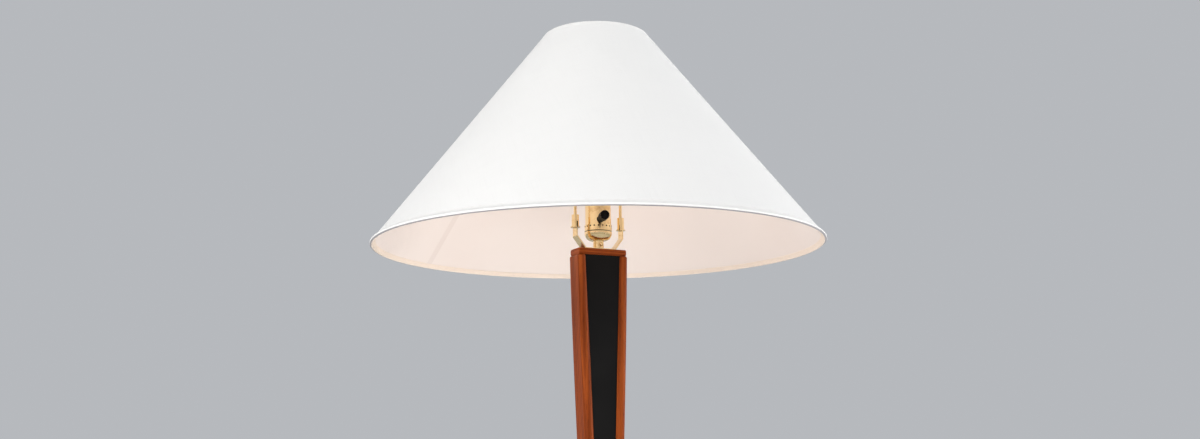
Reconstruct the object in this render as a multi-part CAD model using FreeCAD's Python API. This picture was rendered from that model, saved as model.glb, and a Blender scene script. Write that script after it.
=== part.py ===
"""Floor lamp: a waisted column of two curved walnut boards with black panels between them, a brass
turn-knob socket and harp on its cap, a wide conical fabric shade, and a weighted square plinth.

Frame: origin on the floor under the column's axis, +Z up. The column's front panel faces -Y and its two
boards stand at -X and +X. All sizes are in millimetres.
"""
import FreeCAD, Part

import math
import os

V = FreeCAD.Vector
UP = V(0, 0, 1)
BACK = V(0, 1, 0)

# ---------------------------------------------------------------- driving sizes
# plinth
PLINTH_SIDE = 260.0
PLINTH_T = 32.0
PLINTH_WEB_T = 16.0
PLINTH_CORNER_R = 30.0
PLINTH_EDGE_R = 3.0
FELT_T = 2.0
FELT_INSET = 6.0
WEIGHT_D = 190.0
WEIGHT_GAP = 1.0
WEIGHT_SCREW_PCD = 150.0
WEIGHT_SCREW_D = 4.5
WEIGHT_SCREW_HEAD_D = 9.0
WEIGHT_SCREW_BITE = 8.0
WEIGHT_SCREW_COUNT = 3
WEIGHT_SCREW_START = -90.0
COLUMN_SCREW_D = 6.0
COLUMN_SCREW_BITE = 40.0
COLUMN_SCREW_HEAD_D = 12.0
COLUMN_SCREW_HEAD_T = 4.0
COLUMN_SCREW_SPACING = 30.0
INLET_RISE = 6.5
INLET_BORE_D = 6.6
INLET_BARREL_D = 10.0
INLET_BARREL_L = 12.0
INLET_FLANGE_D = 12.6
INLET_FLANGE_T = 2.0
INLET_FLANGE_EDGE_R = 0.8
WIREWAY_D = 8.0

# column
BOARD_H = 1230.0
SHOULDER_DROP = 230.0
WAIST_DROP = 600.0
COLUMN_DEPTH = 30.0
COLUMN_TOP_W = 67.5
COLUMN_SHOULDER_W = 52.0
COLUMN_WAIST_W = 37.0
COLUMN_BOTTOM_W = 86.0
BOARD_TOP_T = 10.2
BOARD_SHOULDER_T = 11.6
BOARD_WAIST_T = 12.0
BOARD_BOTTOM_T = 12.0
OUTER_TOP_LEAN = 0.02
INNER_TOP_LEAN = 0.045
BOTTOM_LEAN = 0.02
BOARD_EDGE_R = 4.4
BOARD_TOP_R = 2.5
PANEL_T = 3.0
PANEL_RECESS = 3.5
PANEL_GROOVE = 3.0
TOP_BLOCK_H = 48.0
BOTTOM_BLOCK_H = 80.0
DOWEL_D = 6.0
DOWEL_IN_BLOCK = 9.0
DOWEL_SKIN = 2.0
TOP_DOWEL_DROPS = (14.0, 36.0)
BOTTOM_DOWEL_RISES = (20.0, 60.0)
CAP_INSET = 1.6
CAP_T = 8.0
CAP_EDGE_R = 2.8
CAP_END_R = 1.0

# nipple and its hardware
NIPPLE_D = 9.6
NIPPLE_BORE_D = 6.6
NIPPLE_BELOW_CAP = 32.0
NIPPLE_PAST_NUT = 4.0
NIPPLE_PAST_SADDLE = 12.0
NUT_AF = 13.0
NUT_T = 4.0
WASHER_D = 15.0
WASHER_T = 1.0

# harp saddle
SADDLE_T = 1.6
SADDLE_W = 12.7
SADDLE_FLAT = 20.0
SADDLE_RISE = 15.5
SADDLE_BEND_R = 3.0
LEG_SPACING = 62.6
LEG_W = 11.0
SHOULDER_Z = 25.8
PEG_W = 5.0
PEG_L = 9.0

# socket: radii grow outwards from the screw shell, and heights are above the column's cap
SCREW_SHELL_BORE_D = 27.2
SCREW_SHELL_WALL = 0.4
SCREW_SHELL_AIR = 0.95
SCREW_SHELL_H = 25.0
SCREW_SHELL_FLOOR_T = 0.6
SCREW_SHELL_FLOOR_BORE_D = 16.0
INSULATOR_T = 0.6
INSULATOR_SHORT = 3.0
SHELL_WALL = 0.5
SHELL_LIP = 1.2
SHELL_TOP_Z = 67.0
SHELL_BOTTOM_Z = 24.5
SOCKET_CAP_WALL = 0.8
SOCKET_CAP_TOP_Z = 30.8
HUB_D = 13.4
HUB_TOP_Z = 11.0
BOWL_TOP_Z = 20.0
CUP_GROOVE_RISE = 1.9
CUP_GROOVE_W = 1.2
CUP_GROOVE_DEPTH = 0.45
DIMPLE_COUNT = 20
DIMPLE_D = 1.5
DIMPLE_DEPTH = 0.35
DIMPLE_Z = 28.5
SOCKET_BODY_BOTTOM_Z = 22.5
SOCKET_BODY_H = 16.5
SOCKET_BODY_STEP = 2.6
CONTACT_D = 6.8
CONTACT_TIP_D = 4.4
CONTACT_FOOT_H = 1.0
CONTACT_H = 2.7
SET_SCREW_D = 3.0
SET_SCREW_HEAD_D = 4.8
SET_SCREW_HEAD_T = 1.6
SET_SCREW_OUT = 1.2
SET_SCREW_TURN = 19.0
TERMINAL_SCREW_D = 2.5
TERMINAL_SCREW_L = 7.0
TERMINAL_HEAD_D = 5.0
TERMINAL_HEAD_T = 1.6
TERMINAL_SPACING = 15.0

# switch knob: distances are from the lamp's axis
KNOB_Z = 36.2
KNOB_ANGLE = -105.0
SPINDLE_D = 3.2
SPINDLE_IN = 9.0
SPINDLE_GRIP = 12.0
KNOB_STEM_D = 7.4
KNOB_STEM_AIR = 0.8
KNOB_SEAT = 0.5
KNOB_POCKET = 1.0
KNOB_FLARE = 30.0
KNOB_FLARE_L = 2.4
KNOB_HEAD_D = 11.6
KNOB_END = 46.0
KNOB_DOME = 1.4
KNOB_FLUTE_R = 0.8
KNOB_FLUTE_DEPTH = 0.45
KNOB_FLUTES = 12

# harp: heights are above the column's cap
HARP_WIRE_D = 3.9
HARP_HEIGHT = 252.0
HARP_HALF_W = 56.0
HARP_STRAIGHT_Z = 62.0
HARP_WIDE_Z = 108.0
HARP_NARROW_DROP = 76.0
HARP_CROWN_HALF_W = 27.0
HARP_BENDS = (30.0, 45.0, 50.0, 26.0)
HARP_END_D = 6.6
HARP_END_ABOVE_PEG = 3.5
FERRULE_WALL = 1.1
FERRULE_FLANGE_D = 11.8
FERRULE_FLANGE_T = 1.2
FERRULE_H = 16.0
SEAT_D = 16.0
SEAT_T = 2.0
SEAT_SINK = 0.4
STUD_D = 6.2
STUD_L = 19.0
STUD_TAIL_D = 2.2

# bulb
BULB_D = 60.0
BULB_L = 108.0
BULB_NECK_L = 3.0
BULB_GLASS_WALL = 0.8
BULB_NECK_INSET = 0.6
BULB_BASE_PLAY = 0.5
BULB_BASE_H = 24.0
BULB_BASE_WALL = 0.6
BULB_FOOT_GAP = 0.3
BULB_CONTACT_D = 10.0
BULB_CONTACT_TIP_D = 4.8
BULB_CONTACT_H = 1.6
BULB_SHOULDER_H = 4.0

# shade
SHADE_BOTTOM_D = 558.8
SHADE_TOP_D = 132.4
SHADE_H = 273.0
RIM_ABOVE_CAP = 1.5
COVER_T = 0.7
LINER_T = 0.8
LINER_GAP = 0.1
RIM_ROLL_D = 4.0
TOP_ROLL_D = 4.0
ROLL_WALL = 0.5
SPIDER_ARM_D = 3.0
SPIDER_ARMS = 3
SPIDER_ARM_START = 90.0
SPIDER_ARM_RUN = 12.0
SPIDER_ARM_HOOK = 6.0
SPIDER_ARM_BENDS = (8.0, 3.0)
SPIDER_HUB_D = 26.0
SPIDER_HUB_T = 1.6
SPIDER_ARM_IN_HUB = 1.0

# finial: heights are above its foot
FINIAL_H = 27.0
FINIAL_BALL_D = 15.0
FINIAL_FOOT_D = 12.0
FINIAL_FOOT_T = 1.6
FINIAL_WAIST_D = 8.4
FINIAL_WAIST_Z = 5.0
FINIAL_BEAD_D = 10.0
FINIAL_BEAD_Z = 9.0
FINIAL_BEAD_H = 3.0

# clearances
FIT = 0.1
SLIDE_GAP = 0.3
RUN_GAP = 0.05

# ---------------------------------------------------------------- levels
PLINTH_BOTTOM = FELT_T
PLINTH_TOP = PLINTH_BOTTOM + PLINTH_T
RECESS_TOP = PLINTH_TOP - PLINTH_WEB_T
WEIGHT_T = RECESS_TOP - PLINTH_BOTTOM - WEIGHT_GAP
INLET_Z = RECESS_TOP + INLET_RISE
BOARD_TOP = PLINTH_TOP + BOARD_H
CAP_TOP = BOARD_TOP + CAP_T
CAP_W = COLUMN_TOP_W - 2 * CAP_INSET
CAP_DEPTH = COLUMN_DEPTH - 2 * CAP_INSET
PANEL_FRONT = COLUMN_DEPTH / 2 - PANEL_RECESS
PANEL_BACK = PANEL_FRONT - PANEL_T
NUT_FOOT = CAP_TOP - NIPPLE_BELOW_CAP
HALF_LEG = LEG_SPACING / 2

SCREW_SHELL_R = SCREW_SHELL_BORE_D / 2 + SCREW_SHELL_WALL
BODY_R = SCREW_SHELL_R + SCREW_SHELL_AIR - FIT
INSULATOR_R = BODY_R + FIT + INSULATOR_T
SHELL_R = INSULATOR_R + FIT + SHELL_WALL
SOCKET_CAP_R = SHELL_R + RUN_GAP + SOCKET_CAP_WALL
BODY_FOOT = CAP_TOP + SOCKET_BODY_BOTTOM_Z
BODY_TOP = BODY_FOOT + SOCKET_BODY_H
BULB_FOOT = BODY_TOP + CONTACT_H + BULB_FOOT_GAP

HARP_TOP = CAP_TOP + HARP_HEIGHT
SEAT_FOOT = HARP_TOP + HARP_WIRE_D / 2 - SEAT_SINK
SEAT_TOP = SEAT_FOOT + SEAT_T
HUB_FOOT = SEAT_TOP + SLIDE_GAP / 2
FINIAL_FOOT = HUB_FOOT + SPIDER_HUB_T + SLIDE_GAP / 2
RIM_Z = CAP_TOP + RIM_ABOVE_CAP
SHADE_TOP = RIM_Z + SHADE_H
RIM_RING_R = (SHADE_BOTTOM_D - RIM_ROLL_D) / 2
RIM_RING_Z = RIM_Z + RIM_ROLL_D / 2
TOP_RING_R = (SHADE_TOP_D - TOP_ROLL_D) / 2 + ROLL_WALL
TOP_RING_Z = SHADE_TOP - TOP_ROLL_D / 2


# ---------------------------------------------------------------- helpers
def save(shape, name):
    """Writes one sub-part, after a check that it is valid."""
    if not shape.isValid():
        print("INVALID", name)
    shape.exportStep(os.path.join("parts", name + ".step"))
    print(f"{name:26s} solids {len(shape.Solids)} volume {shape.Volume:.1f}")


def cyl(radius, height, base, axis=UP):
    """A cylinder from a base point along an axis."""
    return Part.makeCylinder(radius, height, base, axis)


def ring(outer_r, inner_r, height, base, axis=UP):
    """A round tube or washer."""
    return cyl(outer_r, height, base, axis).cut(cyl(inner_r, height, base, axis))


def box(x0, x1, y0, y1, z0, z1):
    """A box between two corners."""
    return Part.makeBox(x1 - x0, y1 - y0, z1 - z0, V(x0, y0, z0))


def revolve(stops, lift=0.0):
    """Turns an outline about the lamp's axis, raised by lift.

    A stop (r, z) is reached by a straight line, and a stop (mid r, mid z, r, z) by an arc through its
    middle point. The outline closes on its first stop.
    """
    edges = []
    here = V(stops[0][0], 0, stops[0][1] + lift)
    for stop in stops[1:] + stops[:1]:
        there = V(stop[-2], 0, stop[-1] + lift)
        if len(stop) == 4:
            edges.append(Part.Arc(here, V(stop[0], 0, stop[1] + lift), there).toShape())
        elif here.distanceToPoint(there) > 1e-6:
            edges.append(Part.makeLine(here, there))
        here = there
    return Part.Face(Part.Wire(edges)).revolve(V(0, 0, 0), UP, 360)


def hexagon(across_flats, height, base):
    """A hexagonal prism standing on base."""
    corner = across_flats / math.sqrt(3)
    corners = [base + V(corner * math.cos(math.radians(a)), corner * math.sin(math.radians(a)), 0)
               for a in range(0, 361, 60)]
    return Part.Face(Part.makePolygon(corners)).extrude(V(0, 0, height))


def rounded_path(points, radii):
    """A wire of straight runs through points, with a tangent arc of the given radius at each corner."""
    edges = []
    start = points[0]
    for i, radius in enumerate(radii, start=1):
        corner = points[i]
        back = (points[i - 1] - corner).normalize()
        ahead = (points[i + 1] - corner).normalize()
        half = back.getAngle(ahead) / 2
        reach = radius / math.tan(half)
        middle = (back + ahead).normalize() * (radius / math.sin(half) - radius)
        first = corner + back * reach
        last = corner + ahead * reach
        edges.append(Part.makeLine(start, first))
        edges.append(Part.Arc(first, corner + middle, last).toShape())
        start = last
    edges.append(Part.makeLine(start, points[-1]))
    return Part.Wire(edges)


def wire_along(path, diameter):
    """A round wire swept along a path."""
    start = path.Edges[0].valueAt(path.Edges[0].FirstParameter)
    direction = path.Edges[0].tangentAt(path.Edges[0].FirstParameter)
    section = Part.Wire(Part.makeCircle(diameter / 2, start, direction))
    return path.makePipeShell([section], True, False)


def tall_edges(shape, height):
    """The edges of a shape that run up more than half of a height."""
    return [e for e in shape.Edges if e.BoundBox.ZLength > height / 2]


def around(shape, count, offset=0.0):
    """Copies of a shape at equal steps about the lamp's axis."""
    copies = []
    for i in range(count):
        copy = shape.copy()
        copy.rotate(V(0, 0, 0), UP, offset + i * 360.0 / count)
        copies.append(copy)
    return copies


# ---------------------------------------------------------------- column
def side_curve(widths, top_lean):
    """A curve up the column's right half, from the widths at its foot, waist, shoulder and top."""
    heights = (PLINTH_TOP, BOARD_TOP - WAIST_DROP, BOARD_TOP - SHOULDER_DROP, BOARD_TOP)
    curve = Part.BSplineCurve()
    curve.interpolate(Points=[V(width / 2, 0, z) for width, z in zip(widths, heights)],
                      InitialTangent=V(-BOTTOM_LEAN, 0, 1), FinalTangent=V(top_lean, 0, 1))
    return curve.toShape()


def outer_side():
    """The right board's outer side."""
    return side_curve((COLUMN_BOTTOM_W, COLUMN_WAIST_W, COLUMN_SHOULDER_W, COLUMN_TOP_W), OUTER_TOP_LEAN)


def inner_side(shift=0.0):
    """The right board's inner side, moved into the board by shift."""
    walls = (BOARD_BOTTOM_T, BOARD_WAIST_T, BOARD_SHOULDER_T, BOARD_TOP_T)
    outer = (COLUMN_BOTTOM_W, COLUMN_WAIST_W, COLUMN_SHOULDER_W, COLUMN_TOP_W)
    return side_curve([w - 2 * t + 2 * shift for w, t in zip(outer, walls)], INNER_TOP_LEAN)


def between(a, b, y0, y1):
    """The solid between two curves that run up the column, from y0 to y1."""
    top = Part.makeLine(a.Vertexes[-1].Point, b.Vertexes[-1].Point)
    bottom = Part.makeLine(a.Vertexes[0].Point, b.Vertexes[0].Point)
    face = Part.Face(Part.Wire(Part.__sortEdges__([a, top, b, bottom])))
    face.translate(V(0, y0, 0))
    return face.extrude(V(0, y1 - y0, 0))


def opening_core(shift, y0, y1):
    """The full width of the column's opening, widened by shift at each side, from y0 to y1."""
    right = inner_side(shift)
    return between(right, right.mirror(V(0, 0, 0), V(1, 0, 0)), y0, y1)


def half_width(side, z):
    """Distance from the column's middle to one of its side curves at a height."""
    probe = Part.makeLine(V(0, 0, z), V(COLUMN_BOTTOM_W + COLUMN_TOP_W, 0, z))
    return side.distToShape(probe)[1][0][0].x


def dowels(grow=0.0):
    """The dowels that pin both boards to the two blocks; grow gives their holes."""
    outer, inner = outer_side(), inner_side()
    heights = [BOARD_TOP - drop for drop in TOP_DOWEL_DROPS]
    heights += [PLINTH_TOP + rise for rise in BOTTOM_DOWEL_RISES]
    pins = []
    for z in heights:
        start = half_width(inner, z) - DOWEL_IN_BLOCK - grow
        end = half_width(outer, z) - DOWEL_SKIN + grow
        for side in (-1, 1):
            pins.append(cyl(DOWEL_D / 2 + grow, end - start, V(side * start, 0, z), V(side, 0, 0)))
    return pins


def side_board():
    """The right-hand board, grooved for both panels and bored for its dowels."""
    half = COLUMN_DEPTH / 2
    board = between(outer_side(), inner_side(), -half, half)
    board = board.makeFillet(min(BOARD_EDGE_R, 0.45 * BOARD_TOP_T), tall_edges(board, BOARD_H))
    top_edges = [e for e in board.Edges if e.BoundBox.ZMin > BOARD_TOP - 1e-3 and e.Length > COLUMN_DEPTH / 2
                 and e.CenterOfMass.x > (COLUMN_TOP_W - BOARD_TOP_T) / 2]
    board = board.makeFillet(BOARD_TOP_R, top_edges)
    for y0, y1 in ((PANEL_BACK - FIT, PANEL_FRONT + FIT), (-PANEL_FRONT - FIT, -PANEL_BACK + FIT)):
        board = board.cut(between(inner_side(PANEL_GROOVE), inner_side(-PANEL_GROOVE), y0, y1))
    return board.cut(dowels(RUN_GAP))


def panel():
    """A black panel, whose edges sit in the boards' grooves."""
    sheet = opening_core(PANEL_GROOVE - FIT, -PANEL_FRONT, -PANEL_BACK)
    return sheet.common(box(-COLUMN_BOTTOM_W, COLUMN_BOTTOM_W, -COLUMN_DEPTH, COLUMN_DEPTH,
                            PLINTH_TOP + FIT, BOARD_TOP - FIT))


def block(z0, z1):
    """A spacer block between the boards and the panels."""
    reach = COLUMN_BOTTOM_W
    core = opening_core(-FIT, -PANEL_BACK + FIT, PANEL_BACK - FIT)
    core = core.common(box(-reach, reach, -reach, reach, z0, z1))
    return core.cut(dowels(RUN_GAP))


def make_column():
    """Boards, panels, blocks, dowels and the cap."""
    board = side_board()
    save(board, "right_board")
    save(board.mirror(V(0, 0, 0), V(1, 0, 0)), "left_board")
    front = panel()
    save(front, "front_panel")
    save(front.mirror(V(0, 0, 0), V(0, 1, 0)), "back_panel")

    bottom = block(PLINTH_TOP, PLINTH_TOP + BOTTOM_BLOCK_H)
    bottom = bottom.cut(cyl(WIREWAY_D / 2, BOTTOM_BLOCK_H, V(0, 0, PLINTH_TOP)))
    save(bottom.cut(column_screws(RUN_GAP)), "bottom_block")

    top = block(BOARD_TOP - TOP_BLOCK_H, BOARD_TOP)
    top_foot = V(0, 0, BOARD_TOP - TOP_BLOCK_H)
    top = top.cut(cyl(NIPPLE_D / 2 + FIT, TOP_BLOCK_H, top_foot))
    nut_room = NUT_FOOT + NUT_T + WASHER_T - top_foot.z
    save(top.cut(cyl(WASHER_D / 2 + FIT, nut_room, top_foot)), "top_block")
    save(Part.makeCompound(dowels()), "board_dowels")

    cap = box(-CAP_W / 2, CAP_W / 2, -CAP_DEPTH / 2, CAP_DEPTH / 2, BOARD_TOP, CAP_TOP)
    cap = cap.makeFillet(CAP_EDGE_R, [e for e in cap.Edges if e.BoundBox.XLength > CAP_W / 2])
    ends = [e for e in cap.Edges if e.BoundBox.XLength < 1e-3 and e.BoundBox.YLength > CAP_DEPTH / 2]
    cap = cap.makeFillet(CAP_END_R, ends)
    save(cap.cut(cyl(NIPPLE_D / 2 + FIT, CAP_T, V(0, 0, BOARD_TOP))), "top_cap")


# ---------------------------------------------------------------- plinth
def column_screws(grow=0.0):
    """The two screws that hold the column, driven up from the weight's recess."""
    head_foot = RECESS_TOP + FIT - grow
    length = PLINTH_WEB_T + COLUMN_SCREW_BITE + 2 * grow
    screws = []
    for x in (-COLUMN_SCREW_SPACING / 2, COLUMN_SCREW_SPACING / 2):
        head = cyl(COLUMN_SCREW_HEAD_D / 2 + grow, COLUMN_SCREW_HEAD_T + grow, V(x, 0, head_foot))
        shank = cyl(COLUMN_SCREW_D / 2 + grow, length, V(x, 0, head_foot))
        screws.append(head.fuse(shank).removeSplitter())
    return screws


def weight_screws(grow=0.0):
    """The countersunk screws that hold the weight in its recess."""
    head_r = WEIGHT_SCREW_HEAD_D / 2 + grow
    shank_r = WEIGHT_SCREW_D / 2 + grow
    foot = V(WEIGHT_SCREW_PCD / 2, 0, PLINTH_BOTTOM + FIT - grow)
    length = WEIGHT_T + WEIGHT_GAP + WEIGHT_SCREW_BITE + 2 * grow
    head = Part.makeCone(head_r, shank_r, head_r - shank_r, foot)
    screw = head.fuse(cyl(shank_r, length, foot)).removeSplitter()
    return around(screw, WEIGHT_SCREW_COUNT, WEIGHT_SCREW_START)


def make_plinth():
    """Plinth, weight, felt and screws."""
    half = PLINTH_SIDE / 2
    plinth = box(-half, half, -half, half, PLINTH_BOTTOM, PLINTH_TOP)
    plinth = plinth.makeFillet(PLINTH_CORNER_R, tall_edges(plinth, PLINTH_T))
    rims = [e for e in plinth.Edges if e.BoundBox.ZMin > PLINTH_TOP - 1e-3]
    plinth = plinth.makeFillet(PLINTH_EDGE_R, rims)
    plinth = plinth.cut(cyl(WEIGHT_D / 2 + WEIGHT_GAP, RECESS_TOP - PLINTH_BOTTOM, V(0, 0, PLINTH_BOTTOM)))
    plinth = plinth.cut(column_screws(RUN_GAP) + weight_screws(RUN_GAP))
    lead_foot = V(0, 0, INLET_Z)
    plinth = plinth.cut(cyl(WIREWAY_D / 2, PLINTH_TOP - INLET_Z, lead_foot))
    plinth = plinth.cut(cyl(WIREWAY_D / 2, half, lead_foot, BACK))
    barrel_foot = V(0, half - INLET_BARREL_L - FIT, INLET_Z)
    plinth = plinth.cut(cyl(INLET_BARREL_D / 2 + FIT, INLET_BARREL_L + FIT, barrel_foot, BACK))
    save(plinth, "plinth")

    weight = cyl(WEIGHT_D / 2, WEIGHT_T, V(0, 0, PLINTH_BOTTOM))
    save(weight.cut(weight_screws(RUN_GAP)), "base_weight")
    save(Part.makeCompound(weight_screws()), "weight_screws")
    save(Part.makeCompound(column_screws()), "column_screws")

    edge = half - FELT_INSET
    felt = box(-edge, edge, -edge, edge, 0, FELT_T)
    save(felt.makeFillet(PLINTH_CORNER_R - FELT_INSET, tall_edges(felt, FELT_T)), "felt_pad")


def make_inlet_bushing():
    """The flanged bushing that the lead enters by, at the back of the plinth."""
    face = V(0, PLINTH_SIDE / 2, INLET_Z)
    inner_end = face - BACK * INLET_BARREL_L
    flange = cyl(INLET_FLANGE_D / 2, INLET_FLANGE_T, face, BACK)
    outer_rim = [e for e in flange.Edges if e.BoundBox.YMin > face.y + INLET_FLANGE_T - 1e-3]
    flange = flange.makeFillet(INLET_FLANGE_EDGE_R, outer_rim)
    barrel = cyl(INLET_BARREL_D / 2, INLET_BARREL_L, inner_end, BACK)
    bore = cyl(INLET_BORE_D / 2, INLET_BARREL_L + INLET_FLANGE_T, inner_end, BACK)
    save(barrel.fuse(flange).removeSplitter().cut(bore), "inlet_bushing")


# ---------------------------------------------------------------- nipple, saddle and socket
def make_nipple():
    """The threaded tube that clamps cap, saddle and socket together, with its nut and washer."""
    foot = NUT_FOOT - NIPPLE_PAST_NUT
    top = CAP_TOP + SADDLE_T + NIPPLE_PAST_SADDLE
    save(ring(NIPPLE_D / 2, NIPPLE_BORE_D / 2, top - foot, V(0, 0, foot)), "nipple")
    nut = hexagon(NUT_AF, NUT_T, V(0, 0, NUT_FOOT))
    save(nut.cut(cyl(NIPPLE_D / 2 + RUN_GAP, NUT_T, V(0, 0, NUT_FOOT))), "nipple_nut")
    washer_foot = V(0, 0, NUT_FOOT + NUT_T)
    save(ring(WASHER_D / 2, NIPPLE_D / 2 + FIT, WASHER_T, washer_foot), "nipple_washer")


def make_saddle():
    """The harp's saddle: a bent strip under the socket whose two arms rise to pegs."""
    t = SADDLE_T
    shoulder = CAP_TOP + SHOULDER_Z
    middle = CAP_TOP + t / 2
    path = rounded_path([V(0, 0, middle), V(SADDLE_FLAT, 0, middle), V(HALF_LEG, 0, CAP_TOP + SADDLE_RISE),
                         V(HALF_LEG, 0, shoulder)], (SADDLE_BEND_R, SADDLE_BEND_R))
    y = SADDLE_W / 2
    corners = [V(0, -y, CAP_TOP), V(0, y, CAP_TOP), V(0, y, CAP_TOP + t), V(0, -y, CAP_TOP + t)]
    section = Part.makePolygon(corners + corners[:1])
    half = path.makePipeShell([section], True, False)
    for side in (-1, 1):
        waste = box(HALF_LEG - t, HALF_LEG + t, LEG_W / 2, SADDLE_W, CAP_TOP + SADDLE_RISE, shoulder)
        half = half.cut(waste if side > 0 else waste.mirror(V(0, 0, 0), BACK))
    peg = box(HALF_LEG - t / 2, HALF_LEG + t / 2, -PEG_W / 2, PEG_W / 2, shoulder, shoulder + PEG_L)
    half = half.fuse(peg)
    whole = half.fuse(half.mirror(V(0, 0, 0), V(1, 0, 0))).removeSplitter()
    save(whole.cut(cyl(NIPPLE_D / 2 + FIT, t, V(0, 0, CAP_TOP))), "harp_saddle")


def quarter_point(centre, reach):
    """The middle of a quarter ellipse that runs from below its centre out to the side."""
    share = math.sqrt(0.5)
    return centre[0] + reach[0] * share, centre[1] - reach[1] * share


def make_socket_cap():
    """The brass cup screwed on the nipple, with a groove and a row of dimples, and its set screw."""
    r, wall = SOCKET_CAP_R, SOCKET_CAP_WALL
    hub = HUB_D / 2
    bore = NIPPLE_D / 2 + RUN_GAP
    floor_z = HUB_TOP_Z + wall
    groove = BOWL_TOP_Z + CUP_GROOVE_RISE
    outside = quarter_point((hub, BOWL_TOP_Z), (r - hub, BOWL_TOP_Z - HUB_TOP_Z))
    inside = quarter_point((hub, BOWL_TOP_Z), (r - wall - hub, BOWL_TOP_Z - floor_z))
    cup = revolve([(bore, SADDLE_T), (hub, SADDLE_T), (hub, HUB_TOP_Z), (*outside, r, BOWL_TOP_Z),
                   (r, groove),
                   (r - CUP_GROOVE_DEPTH, groove + CUP_GROOVE_W / 2, r, groove + CUP_GROOVE_W),
                   (r, SOCKET_CAP_TOP_Z), (r - wall, SOCKET_CAP_TOP_Z), (r - wall, BOWL_TOP_Z),
                   (*inside, hub, floor_z), (bore, floor_z)], CAP_TOP)
    dimple = cyl(DIMPLE_D / 2, SOCKET_CAP_WALL, V(r - DIMPLE_DEPTH, 0, CAP_TOP + DIMPLE_Z), V(1, 0, 0))
    cup = cup.cut(around(dimple, DIMPLE_COUNT, KNOB_ANGLE + 180.0 / DIMPLE_COUNT))

    axis = heading(KNOB_ANGLE + SET_SCREW_TURN)
    foot = axis * (NIPPLE_D / 2 + FIT) + UP * (CAP_TOP + (SADDLE_T + HUB_TOP_Z) / 2)
    length = hub + SET_SCREW_OUT - NIPPLE_D / 2 - FIT
    cup = cup.cut(cyl(SET_SCREW_D / 2 + RUN_GAP, length, foot, axis))
    save(cup, "socket_cap")
    shank = cyl(SET_SCREW_D / 2, length, foot, axis)
    head = cyl(SET_SCREW_HEAD_D / 2, SET_SCREW_HEAD_T, foot + axis * length, axis)
    save(shank.fuse(head).removeSplitter(), "socket_set_screw")


def heading(angle):
    """The level unit vector at an angle from +X."""
    return V(math.cos(math.radians(angle)), math.sin(math.radians(angle)), 0)


def knob_hole(start, length, radius):
    """A round hole along the switch knob's axis."""
    axis = heading(KNOB_ANGLE)
    return cyl(radius, length, axis * start + UP * (CAP_TOP + KNOB_Z), axis)


def make_socket():
    """Shell, insulator, switch body, screw shell, centre contact and terminal screws."""
    stem_room = KNOB_STEM_D / 2 + KNOB_STEM_AIR
    stem_hole = knob_hole(BODY_R - KNOB_POCKET, KNOB_END, stem_room)
    bore = SHELL_R - SHELL_WALL
    mouth = bore - SHELL_LIP
    turn = SHELL_LIP * (1 - math.sqrt(0.5))
    turn_z = SHELL_TOP_Z - SHELL_LIP
    shell = revolve([(bore, SHELL_BOTTOM_Z), (SHELL_R, SHELL_BOTTOM_Z), (SHELL_R, turn_z),
                     (SHELL_R - turn, SHELL_TOP_Z - turn, SHELL_R - SHELL_LIP, SHELL_TOP_Z),
                     (mouth, SHELL_TOP_Z), (mouth, SHELL_TOP_Z - SHELL_WALL),
                     (bore - turn, SHELL_TOP_Z - SHELL_WALL - turn, bore, turn_z - SHELL_WALL)], CAP_TOP)
    save(shell.cut(stem_hole), "socket_shell")
    sleeve_h = SHELL_TOP_Z - SHELL_BOTTOM_Z - INSULATOR_SHORT
    sleeve = ring(INSULATOR_R, INSULATOR_R - INSULATOR_T, sleeve_h, V(0, 0, CAP_TOP + SHELL_BOTTOM_Z))
    save(sleeve.cut(stem_hole), "socket_insulator")

    body = cyl(BODY_R - SOCKET_BODY_STEP, SOCKET_BODY_H, V(0, 0, BODY_FOOT))
    body = body.fuse(cyl(BODY_R, SOCKET_BODY_H - SOCKET_BODY_STEP, V(0, 0, BODY_FOOT + SOCKET_BODY_STEP)))
    body = body.removeSplitter().cut(stem_hole)
    body = body.cut(knob_hole(SPINDLE_IN - FIT, BODY_R, SPINDLE_D / 2 + FIT))
    save(body.cut(terminal_screws(RUN_GAP)), "socket_body")
    save(Part.makeCompound(terminal_screws()), "terminal_screws")

    seat = V(0, 0, BODY_TOP)
    screw_shell = ring(SCREW_SHELL_R, SCREW_SHELL_BORE_D / 2, SCREW_SHELL_H, seat)
    floor = ring(SCREW_SHELL_R, SCREW_SHELL_FLOOR_BORE_D / 2, SCREW_SHELL_FLOOR_T, seat)
    save(screw_shell.fuse(floor).removeSplitter(), "socket_screw_shell")
    foot = cyl(CONTACT_D / 2, CONTACT_FOOT_H, seat)
    tip_foot = seat + UP * CONTACT_FOOT_H
    tip = Part.makeCone(CONTACT_D / 2, CONTACT_TIP_D / 2, CONTACT_H - CONTACT_FOOT_H, tip_foot)
    save(foot.fuse(tip).removeSplitter(), "socket_centre_contact")


def terminal_screws(grow=0.0):
    """The two screws on the switch body's underside that the lead is wired to; grow gives their holes."""
    screws = []
    for x in (-TERMINAL_SPACING / 2, TERMINAL_SPACING / 2):
        foot = V(x, 0, BODY_FOOT - TERMINAL_HEAD_T)
        shank = cyl(TERMINAL_SCREW_D / 2 + grow, TERMINAL_SCREW_L + TERMINAL_HEAD_T, foot)
        head = cyl(TERMINAL_HEAD_D / 2, TERMINAL_HEAD_T, foot)
        screws.append(shank if grow else head.fuse(shank).removeSplitter())
    return screws


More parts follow.
